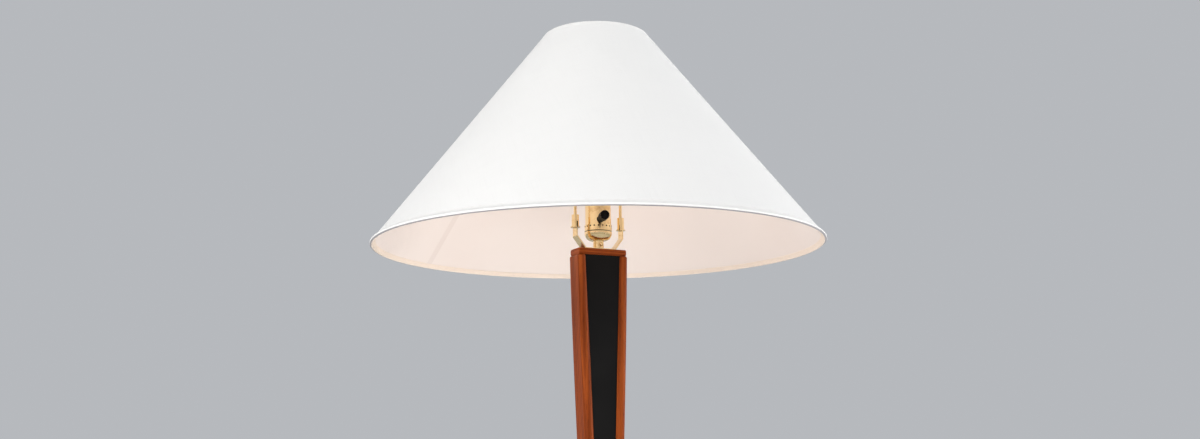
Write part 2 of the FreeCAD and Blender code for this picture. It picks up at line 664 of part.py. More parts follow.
def make_knob():
    """The black turn knob, whose stem flares to a round head with a domed end and flutes, on its spindle."""
    stem, head = KNOB_STEM_D / 2, KNOB_HEAD_D / 2
    start = BODY_R - KNOB_SEAT
    flare_end = KNOB_FLARE + KNOB_FLARE_L
    brow = KNOB_DOME * (1 - math.sqrt(0.5))
    knob = revolve([(0, start), (stem, start), (stem, KNOB_FLARE), (head, flare_end),
                    (head, KNOB_END - KNOB_DOME), (head - brow, KNOB_END - brow, head - KNOB_DOME, KNOB_END),
                    (0, KNOB_END)])
    flute = cyl(KNOB_FLUTE_R, KNOB_END, V(head + KNOB_FLUTE_R - KNOB_FLUTE_DEPTH, 0, flare_end))
    knob = knob.cut(around(flute, KNOB_FLUTES))
    knob.rotate(V(0, 0, 0), BACK, 90)
    knob.rotate(V(0, 0, 0), UP, KNOB_ANGLE)
    knob.translate(V(0, 0, CAP_TOP + KNOB_Z))
    length = start + SPINDLE_GRIP - SPINDLE_IN
    save(knob_hole(SPINDLE_IN, length, SPINDLE_D / 2), "switch_spindle")
    save(knob.cut(knob_hole(SPINDLE_IN, length, SPINDLE_D / 2 + RUN_GAP / 2)), "switch_knob")


# ---------------------------------------------------------------- harp and finial
def make_harp():
    """The wire bow with its slotted ends, and the seat and stud riveted to its crown."""
    end_foot = CAP_TOP + SHOULDER_Z + SLIDE_GAP
    end_top = end_foot + PEG_L + HARP_END_ABOVE_PEG
    left = [V(-HALF_LEG, 0, end_top), V(-HALF_LEG, 0, CAP_TOP + HARP_STRAIGHT_Z),
            V(-HARP_HALF_W, 0, CAP_TOP + HARP_WIDE_Z), V(-HARP_HALF_W, 0, HARP_TOP - HARP_NARROW_DROP),
            V(-HARP_CROWN_HALF_W, 0, HARP_TOP)]
    right = [V(-p.x, 0, p.z) for p in reversed(left)]
    wire = wire_along(rounded_path(left + right, HARP_BENDS + HARP_BENDS[::-1]), HARP_WIRE_D)
    slot_half = SADDLE_T / 2 + SLIDE_GAP / 2
    slot_top = end_foot + PEG_L + SLIDE_GAP
    for x in (-HALF_LEG, HALF_LEG):
        end = cyl(HARP_END_D / 2, end_top - end_foot, V(x, 0, end_foot))
        slot = box(x - slot_half, x + slot_half, -HARP_END_D, HARP_END_D, end_foot, slot_top)
        wire = wire.fuse(end.cut(slot))
    tail_foot = V(0, 0, SEAT_FOOT - HARP_WIRE_D)
    wire = wire.removeSplitter().cut(cyl(SEAT_D / 2, HARP_WIRE_D, V(0, 0, SEAT_FOOT)))
    save(wire.cut(cyl(STUD_TAIL_D / 2 + RUN_GAP, HARP_WIRE_D, tail_foot)), "harp_bow")

    seat = cyl(SEAT_D / 2, SEAT_T, V(0, 0, SEAT_FOOT))
    stud = cyl(STUD_D / 2, STUD_L, V(0, 0, SEAT_TOP))
    tail = cyl(STUD_TAIL_D / 2, HARP_WIRE_D, tail_foot)
    save(seat.fuse([stud, tail]).removeSplitter(), "harp_stud")


def make_ferrules():
    """The two flanged sleeves that slide down to lock the harp's ends on the saddle's pegs."""
    bore_r = HARP_END_D / 2 + FIT
    foot_z = CAP_TOP + SHOULDER_Z + SLIDE_GAP
    for name, x in (("left_ferrule", -HALF_LEG), ("right_ferrule", HALF_LEG)):
        sleeve = ring(bore_r + FERRULE_WALL, bore_r, FERRULE_H, V(x, 0, foot_z))
        flange = ring(FERRULE_FLANGE_D / 2, bore_r, FERRULE_FLANGE_T, V(x, 0, foot_z))
        save(sleeve.fuse(flange).removeSplitter(), name)


def make_finial():
    """The ball finial on its turned stem, bored for the harp's stud."""
    foot, waist, bead, ball = FINIAL_FOOT_D / 2, FINIAL_WAIST_D / 2, FINIAL_BEAD_D / 2, FINIAL_BALL_D / 2
    centre = FINIAL_H - ball
    bead_low, bead_high = FINIAL_BEAD_Z - FINIAL_BEAD_H / 2, FINIAL_BEAD_Z + FINIAL_BEAD_H / 2
    stem = revolve([(0, 0), (foot, 0), (foot, FINIAL_FOOT_T), (waist, FINIAL_WAIST_Z, waist, bead_low),
                    (bead, FINIAL_BEAD_Z, waist, bead_high), (waist, centre), (0, centre)], FINIAL_FOOT)
    finial = stem.fuse(Part.makeSphere(ball, V(0, 0, FINIAL_FOOT + centre))).removeSplitter()
    depth = SEAT_TOP + STUD_L + SLIDE_GAP - FINIAL_FOOT
    save(finial.cut(cyl(STUD_D / 2 + RUN_GAP, depth, V(0, 0, FINIAL_FOOT))), "finial")


# ---------------------------------------------------------------- bulb
def make_bulb():
    """A pear-shaped bulb: glass envelope, screw base and foot contact."""
    base_r = SCREW_SHELL_BORE_D / 2 - BULB_BASE_PLAY
    base_top = BULB_FOOT + BULB_BASE_H
    neck = base_r - BULB_NECK_INSET
    centre = BULB_FOOT + BULB_L - BULB_D / 2
    rise = centre - base_top - BULB_NECK_L
    blend = (rise ** 2 + neck ** 2 - (BULB_D / 2) ** 2) / (BULB_D - 2 * neck)
    outside = pear(neck, BULB_D / 2, blend, base_top, centre)
    wall = BULB_GLASS_WALL
    inside = pear(neck - wall, BULB_D / 2 - wall, blend + wall, base_top, centre)
    save(outside.cut(inside), "bulb_glass")

    low, shoulder, top = BULB_CONTACT_H, BULB_CONTACT_H + BULB_SHOULDER_H, BULB_BASE_H
    toe, wall = BULB_CONTACT_D / 2, BULB_BASE_WALL
    base = revolve([(0, low), (toe, low), (base_r, shoulder), (base_r, top), (base_r - wall, top),
                    (base_r - wall, shoulder + wall / 2), (toe - wall / 2, low + wall), (0, low + wall)],
                   BULB_FOOT)
    save(base, "bulb_base")
    save(Part.makeCone(BULB_CONTACT_TIP_D / 2, toe, BULB_CONTACT_H, V(0, 0, BULB_FOOT)), "bulb_contact")


def pear(neck, r, blend, base, centre):
    """A solid pear: a straight neck that flows by a tangent arc of radius blend into a sphere."""
    reach = r + blend
    turn = V(neck + blend, 0, centre - math.sqrt(reach ** 2 - (neck + blend) ** 2))
    join = turn + (V(0, 0, centre) - turn) * (blend / reach)
    toward = ((join - turn).normalize() + V(-1, 0, 0)).normalize()
    share = math.sqrt(0.5)
    base_middle, neck_top, tip = V(0, 0, base), V(neck, 0, turn.z), V(0, 0, centre + r)
    edges = [Part.makeLine(base_middle, V(neck, 0, base)), Part.makeLine(V(neck, 0, base), neck_top),
             Part.Arc(neck_top, turn + toward * blend, join).toShape(),
             Part.Arc(join, V(r * share, 0, centre + r * share), tip).toShape(),
             Part.makeLine(tip, base_middle)]
    return Part.Face(Part.Wire(edges)).revolve(V(0, 0, 0), UP, 360)


# ---------------------------------------------------------------- shade
def cone_layer(inset, thickness):
    """A conical layer of the shade's wall, inset and thickness being measured square to the wall."""
    low, high = RIM_RING_Z, TOP_RING_Z
    lean = (SHADE_BOTTOM_D - SHADE_TOP_D) / 2 / SHADE_H
    stretch = math.hypot(1, lean)
    low_r, high_r = (SHADE_BOTTOM_D / 2 - lean * (z - RIM_Z) - inset * stretch for z in (low, high))
    step = thickness * stretch
    return revolve([(low_r, low), (high_r, high), (high_r - step, high), (low_r - step, low)])


def torus(major, minor, z):
    """A ring of round section about the lamp's axis."""
    return Part.makeTorus(major, minor, V(0, 0, z))


def largest(shape):
    """The largest solid of a shape, which drops a cut's slivers."""
    return max(shape.Solids, key=lambda solid: solid.Volume)


def make_shade_walls():
    """Cover and liner, both ending at the rolled edges, and the bottom roll and ring."""
    rooms = [torus(RIM_RING_R, RIM_ROLL_D / 2 + RUN_GAP, RIM_RING_Z),
             torus(TOP_RING_R, TOP_ROLL_D / 2 + RUN_GAP, TOP_RING_Z)]
    save(largest(cone_layer(0, COVER_T).cut(rooms)), "shade_cover")
    save(largest(cone_layer(COVER_T + LINER_GAP, LINER_T).cut(rooms)), "shade_liner")
    save(rolled_edge(RIM_RING_R, RIM_ROLL_D, RIM_RING_Z), "shade_bottom_roll")
    save(torus(RIM_RING_R, RIM_ROLL_D / 2 - ROLL_WALL - RUN_GAP, RIM_RING_Z), "shade_bottom_ring")


def rolled_edge(ring_r, roll_d, z):
    """The fabric rolled round a wire ring."""
    return torus(ring_r, roll_d / 2, z).cut(torus(ring_r, roll_d / 2 - ROLL_WALL, z))


def make_spider():
    """The hub on the harp's stud, its arms, and the top ring and roll that the arms carry."""
    hub_r = SPIDER_HUB_D / 2
    save(ring(hub_r, STUD_D / 2 + FIT, SPIDER_HUB_T, V(0, 0, HUB_FOOT)), "spider_hub")
    level = HUB_FOOT + SPIDER_HUB_T / 2
    path = rounded_path([V(hub_r - SPIDER_ARM_IN_HUB, 0, level), V(hub_r + SPIDER_ARM_RUN, 0, level),
                         V(TOP_RING_R - SPIDER_ARM_HOOK, 0, TOP_RING_Z), V(TOP_RING_R, 0, TOP_RING_Z)],
                        SPIDER_ARM_BENDS)
    hub_room = cyl(hub_r + RUN_GAP, 2 * SPIDER_ARM_D, V(0, 0, level - SPIDER_ARM_D))
    ring_room = torus(TOP_RING_R, TOP_ROLL_D / 2 - ROLL_WALL, TOP_RING_Z)
    arm = largest(wire_along(path, SPIDER_ARM_D).cut([hub_room, ring_room]))
    arms = around(arm, SPIDER_ARMS, SPIDER_ARM_START)
    for number, copy in enumerate(arms, start=1):
        save(copy, f"spider_arm_{number}")
    save(rolled_edge(TOP_RING_R, TOP_ROLL_D, TOP_RING_Z).cut(arms), "shade_top_roll")
    save(torus(TOP_RING_R, TOP_ROLL_D / 2 - ROLL_WALL - RUN_GAP, TOP_RING_Z), "shade_top_ring")


os.makedirs("parts", exist_ok=True)
make_plinth()
make_inlet_bushing()
make_column()
make_nipple()
make_saddle()
make_socket_cap()
make_socket()
make_knob()
make_harp()
make_ferrules()
make_finial()
make_bulb()
make_shade_walls()
make_spider()
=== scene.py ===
"""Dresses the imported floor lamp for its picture: finishes, fabric shade, threads, light and camera.

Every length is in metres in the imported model's frame: the origin is on the floor under the column's axis,
+Z is up and the column's front panel faces -Y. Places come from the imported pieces' own boxes.
"""

import logging
import math
from collections.abc import Iterator, Mapping, Sequence
from contextlib import contextmanager
from dataclasses import dataclass, field
from enum import Enum
from functools import cache
from typing import Any

import bmesh
import bpy
from mathutils import Matrix, Vector


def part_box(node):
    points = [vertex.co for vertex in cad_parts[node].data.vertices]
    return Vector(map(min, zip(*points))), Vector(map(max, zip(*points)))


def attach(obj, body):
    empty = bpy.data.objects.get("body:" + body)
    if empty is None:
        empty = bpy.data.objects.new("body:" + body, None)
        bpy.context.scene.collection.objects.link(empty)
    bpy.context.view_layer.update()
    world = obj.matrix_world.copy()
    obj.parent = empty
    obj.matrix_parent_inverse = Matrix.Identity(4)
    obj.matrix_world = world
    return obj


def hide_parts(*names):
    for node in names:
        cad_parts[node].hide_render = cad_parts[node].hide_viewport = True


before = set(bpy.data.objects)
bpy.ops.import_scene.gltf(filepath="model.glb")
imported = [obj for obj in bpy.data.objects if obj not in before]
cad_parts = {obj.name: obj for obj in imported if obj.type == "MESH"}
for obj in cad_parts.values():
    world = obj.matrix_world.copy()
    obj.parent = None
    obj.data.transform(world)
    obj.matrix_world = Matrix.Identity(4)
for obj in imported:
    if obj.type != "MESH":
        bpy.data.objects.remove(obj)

log = logging.getLogger("floor_lamp")
MM = 0.001
TURN = 2 * math.pi
LAP = 11 * MM
BULB_PITCH = 3.63 * MM
BULB_THREAD_DEPTH = 0.8 * MM
ROLLED_WALL = 0.4 * MM
SAME_POINT = 0.0001 * MM
SAME_RIM = 0.001 * MM
THREAD_SIDES = 72
RUN_OUT = (0.15, 0.75)
CLOTH_GRID = (385, 20)
HOOP_SIDES = 256
SPIDER_ARMS = 3
BEAD_FLATNESS = 0.72
SOFT_EDGE = math.radians(35)
CLOTH_EDGE = math.radians(40)
RGB = tuple[float, float, float]
Outline = Sequence[tuple[float, float]]
Term = Any


class Body(Enum):
    """The bodies that pieces ride on."""

    STAND = "stand"
    SHADE = "shade"


class Grain(Enum):
    """The way the wood's grain runs."""

    ALONG_X = "x"
    ALONG_Z = "z"


class Working(Enum):
    """How a metal piece was made, which is how its fine marks run."""

    TURNED = "turned"
    DRAWN = "drawn"


# ---------------------------------------------------------------- nodes as Python expressions
class Value:
    """A number on a node's socket. Python's operators on it add the Math nodes."""

    def __init__(self, bench: "Bench", socket: bpy.types.NodeSocket) -> None:
        """Wraps a socket of a bench's tree."""
        self.bench = bench
        self.socket = socket

    def __add__(self, other: Term) -> "Value":
        """Sum."""
        return self.bench.math("ADD", self, other)

    def __sub__(self, other: Term) -> "Value":
        """Difference."""
        return self.bench.math("SUBTRACT", self, other)

    def __rsub__(self, other: Term) -> "Value":
        """Difference from a plain number."""
        return self.bench.math("SUBTRACT", other, self)

    def __mul__(self, other: Term) -> "Value":
        """Product."""
        return self.bench.math("MULTIPLY", self, other)

    def __truediv__(self, other: Term) -> "Value":
        """Quotient."""
        return self.bench.math("DIVIDE", self, other)

    def __rtruediv__(self, other: Term) -> "Value":
        """Quotient of a plain number."""
        return self.bench.math("DIVIDE", other, self)

    def __pow__(self, other: Term) -> "Value":
        """Power."""
        return self.bench.math("POWER", self, other)

    def __abs__(self) -> "Value":
        """Size without sign."""
        return self.bench.math("ABSOLUTE", self)

    __radd__ = __add__
    __rmul__ = __mul__

    def cosine(self) -> "Value":
        """Cosine of an angle in radians."""
        return self.bench.math("COSINE", self)

    def sine(self) -> "Value":
        """Sine of an angle in radians."""
        return self.bench.math("SINE", self)

    def step(self, low: float, high: float) -> "Value":
        """A smooth step.

        Args:
            low: Where the step is still 0.
            high: Where the step has become 1. It may be below low, and the step then falls.

        Returns:
            A value from 0 to 1.
        """
        return self.bench.value("ShaderNodeMapRange", {"interpolation_type": "SMOOTHSTEP"},
                                {"Value": self, "From Min": low, "From Max": high})


class Bench:
    """A node tree that Python expressions fill."""

    def __init__(self, tree: bpy.types.NodeTree) -> None:
        """Takes the tree to fill."""
        self.tree = tree

    def add(self, kind: str, settings: Mapping[str, Any] | None = None,
            inputs: Mapping[str | int, Term] | None = None) -> bpy.types.Node:
        """Adds one node.

        Args:
            kind: The node's type.
            settings: Its own settings, and a ramp's stops, which are set first.
            inputs: Values, or sockets to link, by the input's name or number.

        Returns:
            The node.
        """
        node = self.tree.nodes.new(kind)
        for name, setting in (settings or {}).items():
            if name == "stops":
                ramp = node.color_ramp
                while len(ramp.elements) < len(setting):
                    ramp.elements.new(1.0)
                for element, (place, colour) in zip(ramp.elements, setting):
                    element.position, element.color = place, (*colour, 1.0)
            else:
                setattr(node, name, setting)
        self.feed(node, inputs or {})
        return node

    def feed(self, node: bpy.types.Node, inputs: Mapping[str | int, Term]) -> None:
        """Sets or links a node's inputs.

        Args:
            node: The node.
            inputs: Values, or sockets to link, by the input's name or number.
        """
        for name, given in inputs.items():
            socket = node.inputs[name]
            given = given.socket if isinstance(given, Value) else given
            if isinstance(given, bpy.types.NodeSocket):
                self.tree.links.new(given, socket)
            elif socket.type == "RGBA":
                socket.default_value = (*given[:3], 1.0)
            else:
                socket.default_value = given

    def value(self, kind: str, settings: Mapping[str, Any] | None = None,
              inputs: Mapping[str | int, Term] | None = None) -> Value:
        """Adds one node and returns its first output as a value, with the arguments of add."""
        return Value(self, self.add(kind, settings, inputs).outputs[0])

    def math(self, operation: str, *terms: Term) -> Value:
        """Adds a Math node on the terms and returns its result."""
        return self.value("ShaderNodeMath", {"operation": operation}, dict(enumerate(terms)))

    def parts(self, vector: bpy.types.NodeSocket) -> tuple[Value, Value, Value]:
        """The three parts of a vector socket."""
        node = self.add("ShaderNodeSeparateXYZ", inputs={0: vector})
        return Value(self, node.outputs[0]), Value(self, node.outputs[1]), Value(self, node.outputs[2])

    def vector(self, x: Term, y: Term, z: Term) -> bpy.types.NodeSocket:
        """A vector socket from three parts."""
        return self.add("ShaderNodeCombineXYZ", inputs={0: x, 1: y, 2: z}).outputs[0]

    def seen(self) -> Value:
        """Tells which rays look at the backdrop.

        Returns:
            1 on rays from the camera, mirrored or through glass, and 0 on the others.
        """
        path = self.add("ShaderNodeLightPath")
        seen = self.math("MAXIMUM", path.outputs["Is Camera Ray"], path.outputs["Is Glossy Ray"])
        return self.math("MAXIMUM", seen, path.outputs["Is Transmission Ray"])


class Surface(Bench):
    """One material's nodes, round a single Principled shader."""

    def __init__(self, name: str) -> None:
        """Starts a material with a bare shader.

        Args:
            name: The material's name.
        """
        self.material = bpy.data.materials.new(name)
        self.material.use_nodes = True
        super().__init__(self.material.node_tree)
        self.tree.nodes.clear()
        self.shader = self.add("ShaderNodeBsdfPrincipled")
        self.output = self.add("ShaderNodeOutputMaterial", inputs={"Surface": self.shader.outputs[0]})
        self.place = self.add("ShaderNodeTexCoord").outputs["Object"]

    def cut(self) -> bpy.types.NodeSocket:
        """The place on the flat cloth, from the piece's own attribute."""
        return self.add("ShaderNodeAttribute", {"attribute_name": "cut"}).outputs["Vector"]

    def noise(self, place: bpy.types.NodeSocket, scale: Term, detail: float = 2.0, roughness: float = 0.5,
              distortion: float = 0.0) -> Value:
        """Smooth noise.

        Args:
            place: The coordinates that it follows, in metres.
            scale: Features to a metre.
            detail: Layers of finer noise.
            roughness: How strong the finer layers are.
            distortion: How far it swirls.

        Returns:
            A value from 0 to 1, mostly near 0.5.
        """
        return self.value("ShaderNodeTexNoise", None, {"Vector": place, "Scale": scale, "Detail": detail,
                                                       "Roughness": roughness, "Distortion": distortion})

    def stretched(self, place: bpy.types.NodeSocket,
                  along: tuple[float, float, float]) -> bpy.types.NodeSocket:
        """Coordinates multiplied part by part."""
        return self.add("ShaderNodeVectorMath", {"operation": "MULTIPLY"}, {0: place, 1: along}).outputs[0]

    def mix(self, share: Term, under: Term, over: Term) -> bpy.types.NodeSocket:
        """A colour between two others, by a share from 0 to 1."""
        node = self.add("ShaderNodeMix", {"data_type": "RGBA"}, {0: share, 6: under, 7: over})
        return node.outputs[2]

    def tones(self, share: Value, stops: Sequence[tuple[float, RGB]]) -> bpy.types.NodeSocket:
        """A colour ramp's colour at a share from 0 to 1."""
        return self.add("ShaderNodeValToRGB", {"stops": stops}, {0: share}).outputs[0]

    def fill(self, sockets: Mapping[str, Term], height: Value | None = None,
             depth: float = 0.0) -> bpy.types.Material:
        """Sets the shader.

        Args:
            sockets: Values or links for the shader's own sockets.
            height: The relief from 0 to 1, if the surface has one.
            depth: How deep the relief is, in metres.

        Returns:
            The finished material.
        """
        self.feed(self.shader, sockets)
        if height is not None:
            bump = self.add("ShaderNodeBump", None, {"Height": height, "Distance": depth})
            self.feed(self.shader, {"Normal": bump.outputs[0]})
        return self.material


# ---------------------------------------------------------------- finishes
@dataclass(frozen=True)
class Finish:
    """What a surface is finished with."""

    name: str

    def material(self) -> bpy.types.Material:
        """Builds the finish's material."""
        raise NotImplementedError


@cache
def material_of(finish: Finish) -> bpy.types.Material:
    """The finish's material, built once for all the pieces that have it."""
    return finish.material()


@dataclass(frozen=True)
class Walnut(Finish):
    """Reddish oiled walnut under a thin satin lacquer, cut as a solid, so that ends show end grain."""

    grain: Grain = Grain.ALONG_Z
    heart: tuple[float, float] = (0.021, 0.074)
    ring_pitch: float = 3.6 * MM
    ring_drift: float = 11.0 * MM
    light: RGB = (0.460, 0.106, 0.017)
    middle: RGB = (0.262, 0.048, 0.0060)
    dark: RGB = (0.092, 0.0136, 0.0017)
    pore: RGB = (0.036, 0.0065, 0.0015)
    relief: float = 0.07 * MM

    def material(self) -> bpy.types.Material:
        """Growth rings about the heart, long fibres, pores and a coat that is thin over the pores.

        Returns:
            The finished material.
        """
        s = Surface(self.name)
        x, y, z = s.parts(s.place)
        wide, deep, along = (y, z, x) if self.grain is Grain.ALONG_X else (x, y, z)
        trunk = s.vector(wide, deep, along)
        drift = s.noise(s.stretched(trunk, (9.0, 9.0, 1.6)), 1.0, 2.0)
        across, down = wide - self.heart[0], deep - self.heart[1]
        radius = s.math("SQRT", across * across + down * down) + drift * self.ring_drift
        growth = (radius * (TURN / self.ring_pitch)).sine() * 0.5 + 0.5
        streak = s.noise(s.stretched(trunk, (210.0, 210.0, 2.6)), 1.0, 3.0, 0.6)
        fibre = s.noise(s.stretched(trunk, (1500.0, 1500.0, 24.0)), 1.0, 2.0, 0.6)
        broad = s.noise(s.stretched(trunk, (38.0, 38.0, 2.2)), 1.0, 1.0)
        pores = s.noise(s.stretched(trunk, (1900.0, 1900.0, 95.0)), 1.0, 1.0).step(0.64, 0.72)
        tone = growth ** 2.0 * 0.22 + streak * 0.62 + fibre * 0.30 + broad * 0.42 - 0.34
        figure = s.tones(tone, [(0.12, self.dark), (0.46, self.middle), (0.86, self.light)])
        colour = s.mix(pores * 0.55, figure, self.pore)
        return s.fill({"Base Color": colour, "Roughness": 0.36 + fibre * 0.12 + pores * 0.2,
                       "Coat Weight": 0.08 - pores * 0.06, "Coat Roughness": 0.24,
                       "Specular IOR Level": 0.10}, fibre * 0.35 - pores * 0.65 + growth * 0.1, self.relief)


@dataclass(frozen=True)
class BlackLacquer(Finish):
    """Satin black lacquer rubbed up and down, with a faint ripple."""

    colour: RGB = (0.0036, 0.0032, 0.0030)
    worn: RGB = (0.008, 0.0072, 0.0066)
    relief: float = 0.05 * MM

    def material(self) -> bpy.types.Material:
        """Rub marks along the height, cloudy gloss and a few dull specks.

        Returns:
            The finished material.
        """
        s = Surface(self.name)
        rub = s.noise(s.stretched(s.place, (1300.0, 1300.0, 16.0)), 1.0, 2.0)
        cloud = s.noise(s.place, 14.0, 3.0)
        ripple = s.noise(s.place, 160.0, 2.0)
        specks = s.noise(s.place, 900.0, 1.0).step(0.72, 0.78)
        wear = cloud.step(0.4, 0.75) * 0.5 + specks * 0.3
        return s.fill({"Base Color": s.mix(wear, self.colour, self.worn),
                       "Roughness": 0.30 + cloud * 0.14 + rub * 0.06, "Coat Weight": 0.03,
                       "Coat Roughness": 0.2, "Specular IOR Level": 0.12},
                      ripple * 0.7 + rub * 0.3, self.relief)


@dataclass(frozen=True)
class Metal(Finish):
    """Bare or lacquered metal with the fine marks of its making."""

    colour: RGB = (1.0, 0.79, 0.435)
    dull: RGB = (0.66, 0.38, 0.13)
    roughness: float = 0.07
    working: Working = Working.TURNED
    coat: float = 0.0
    patches: float = 95.0
    tarnish_tone: float = 0.6
    tarnish_roughness: float = 0.16
    line_roughness: float = 0.05
    relief: float = 0.12 * MM
    # the near-black colour of dirt and painted shade in hollows
    dark: RGB = (0.045, 0.020, 0.006)

    def material(self) -> bpy.types.Material:
        """Fine marks round the axis or along the wire, shallow dents, tarnish in clouds, and any dirt and
        painted shade in hollows.

        Returns:
            The finished material.
        """
        s = Surface(self.name)
        along = (40.0, 40.0, 2600.0) if self.working is Working.TURNED else (900.0, 900.0, 30.0)
        lines = s.noise(s.stretched(s.place, along), 1.0, 2.0)
        tarnish = s.noise(s.place, self.patches, 4.0, 0.6).step(0.5, 0.72)
        dents = s.noise(s.stretched(s.place, (110.0, 110.0, 260.0)), 1.0, 1.0)
        bright = s.mix(tarnish * self.tarnish_tone + lines * 0.15, self.colour, self.dull)
        rough = tarnish * self.tarnish_roughness + lines * self.line_roughness + self.roughness
        wanted = {"Base Color": bright, "Metallic": 1.0, "Roughness": rough, "Coat Weight": self.coat,
                  "Coat Roughness": 0.06}
        dirt_and_painted_shade = self.dirt_and_painted_shade(s)
        if dirt_and_painted_shade is not None:
            wanted["Base Color"] = s.mix(dirt_and_painted_shade, bright, self.dark)
            wanted["Roughness"] = rough + dirt_and_painted_shade * 0.3
            wanted["Coat Weight"] = self.coat - dirt_and_painted_shade * self.coat
        return s.fill(wanted, lines * 0.1 + dents * 0.9, self.relief)

    def dirt_and_painted_shade(self, s: Surface) -> Value | None:
        """How dirty each point is, with painted shade in its hollows, from 0 to 1, or None for clean metal.
        """
        return None


@dataclass(frozen=True)
class DimpledBrass(Metal):
    """The socket cup's lacquered brass, dark in its row of punched dimples and its rolled groove with dirt
    and painted shade.
    """

    roughness: float = 0.20
    coat: float = 0.3
    patches: float = 110.0
    tarnish_tone: float = 0.5
    tarnish_roughness: float = 0.10
    line_roughness: float = 0.0
    count: int = 20
    radius: float = 17.0 * MM
    row_z: float = 1300.5 * MM
    groove_z: float = 1294.5 * MM
    first_angle: float = math.radians(-96.0)

    def dirt_and_painted_shade(self, s: Surface) -> Value:
        """Dark spots in the dimples and a dark line in the groove: dirt, and painted shade in these
        hollows.

        Args:
            s: The surface that is dressed.

        Returns:
            A value from 0 to 1.
        """
        x, y, z = s.parts(s.place)
        steps = (s.math("ARCTAN2", y, x) - self.first_angle) * (self.count / TURN)
        beside = (s.math("FRACT", steps + 0.5 + self.count) - 0.5) * (TURN * self.radius / self.count)
        above = z - self.row_z
        away = s.math("SQRT", beside * beside + above * above)
        # the punched dimples and the rolled groove get near-black dirt and painted shade
        punched = away.step(1.15 * MM, 0.75 * MM)
        rolled = abs(z - self.groove_z).step(0.75 * MM, 0.35 * MM)
        return punched * 0.95 + rolled * 0.75


@dataclass(frozen=True)
class CastIron(Finish):
    """Sand-cast iron under thin grey paint."""

    colour: RGB = (0.052, 0.052, 0.055)
    rusty: RGB = (0.115, 0.042, 0.018)
    relief: float = 0.4 * MM

    def material(self) -> bpy.types.Material:
        """The sand's grain, with rust starting in the low places.

        Returns:
            The finished material.
        """
        s = Surface(self.name)
        sand = s.noise(s.place, 420.0, 3.0, 0.65)
        rust = s.noise(s.place, 26.0, 4.0, 0.6).step(0.56, 0.72)
        return s.fill({"Base Color": s.mix(rust * 0.55, self.colour, self.rusty), "Metallic": 0.35,
                       "Roughness": 0.58 + sand * 0.2}, sand, self.relief)


@dataclass(frozen=True)
class Enamel(Finish):
    """Stoved enamel over wire."""

    colour: RGB = (0.83, 0.82, 0.78)
    handled: RGB = (0.66, 0.64, 0.58)
    relief: float = 0.1 * MM

    def material(self) -> bpy.types.Material:
        """Slight runs and a greyer tone where it was handled.

        Returns:
            The finished material.
        """
        s = Surface(self.name)
        runs = s.noise(s.place, 170.0, 2.0)
        grime = s.noise(s.place, 45.0, 4.0, 0.6).step(0.52, 0.78)
        return s.fill({"Base Color": s.mix(grime * 0.5, self.colour, self.handled),
                       "Roughness": 0.27 + grime * 0.2, "Coat Weight": 0.2, "Coat Roughness": 0.2},
                      runs, self.relief)


@dataclass(frozen=True)
class Moulding(Finish):
    """Moulded plastic."""

    colour: RGB = (0.0034, 0.0033, 0.0035)
    rubbed: RGB = (0.009, 0.0088, 0.0085)
    roughness: float = 0.3
    relief: float = 0.03 * MM

    def material(self) -> bpy.types.Material:
        """A fine moulded grain, rubbed paler in patches.

        Returns:
            The finished material.
        """
        s = Surface(self.name)
        grain = s.noise(s.place, 1500.0, 2.0)
        handled = s.noise(s.place, 130.0, 3.0).step(0.5, 0.75)
        return s.fill({"Base Color": s.mix(handled * 0.6, self.colour, self.rubbed),
                       "Roughness": self.roughness + handled * 0.12 + grain * 0.06,
                       "Specular IOR Level": 0.06}, grain, self.relief)


@dataclass(frozen=True)
class Card(Finish):
    """The insulator's waxed card."""

    colour: RGB = (0.30, 0.215, 0.135)
    fibre: RGB = (0.40, 0.30, 0.20)
    relief: float = 0.06 * MM

    def material(self) -> bpy.types.Material:
        """Matted fibres in the card.

        Returns:
            The finished material.
        """
        s = Surface(self.name)
        fibres = s.noise(s.stretched(s.place, (500.0, 500.0, 1800.0)), 1.0, 3.0, 0.6, 1.2)
        return s.fill({"Base Color": s.mix(fibres, self.colour, self.fibre),
                       "Roughness": 0.62 + fibres * 0.15}, fibres, self.relief)


@dataclass(frozen=True)
class FrostedGlass(Finish):
    """The bulb's glass, frosted inside so that it looks white."""

    colour: RGB = (0.86, 0.86, 0.83)
    thin: RGB = (0.80, 0.80, 0.78)
    relief: float = 0.01 * MM

    def material(self) -> bpy.types.Material:
        """Even white with a smooth outside and a slightly uneven frost.

        Returns:
            The finished material.
        """
        s = Surface(self.name)
        frost = s.noise(s.place, 70.0, 3.0)
        return s.fill({"Base Color": s.mix(frost.step(0.35, 0.7), self.colour, self.thin),
                       "Roughness": 0.24 + frost * 0.08, "Coat Weight": 0.5, "Coat Roughness": 0.06,
                       "Subsurface Weight": 0.15, "Subsurface Scale": 4.0 * MM}, frost, self.relief)


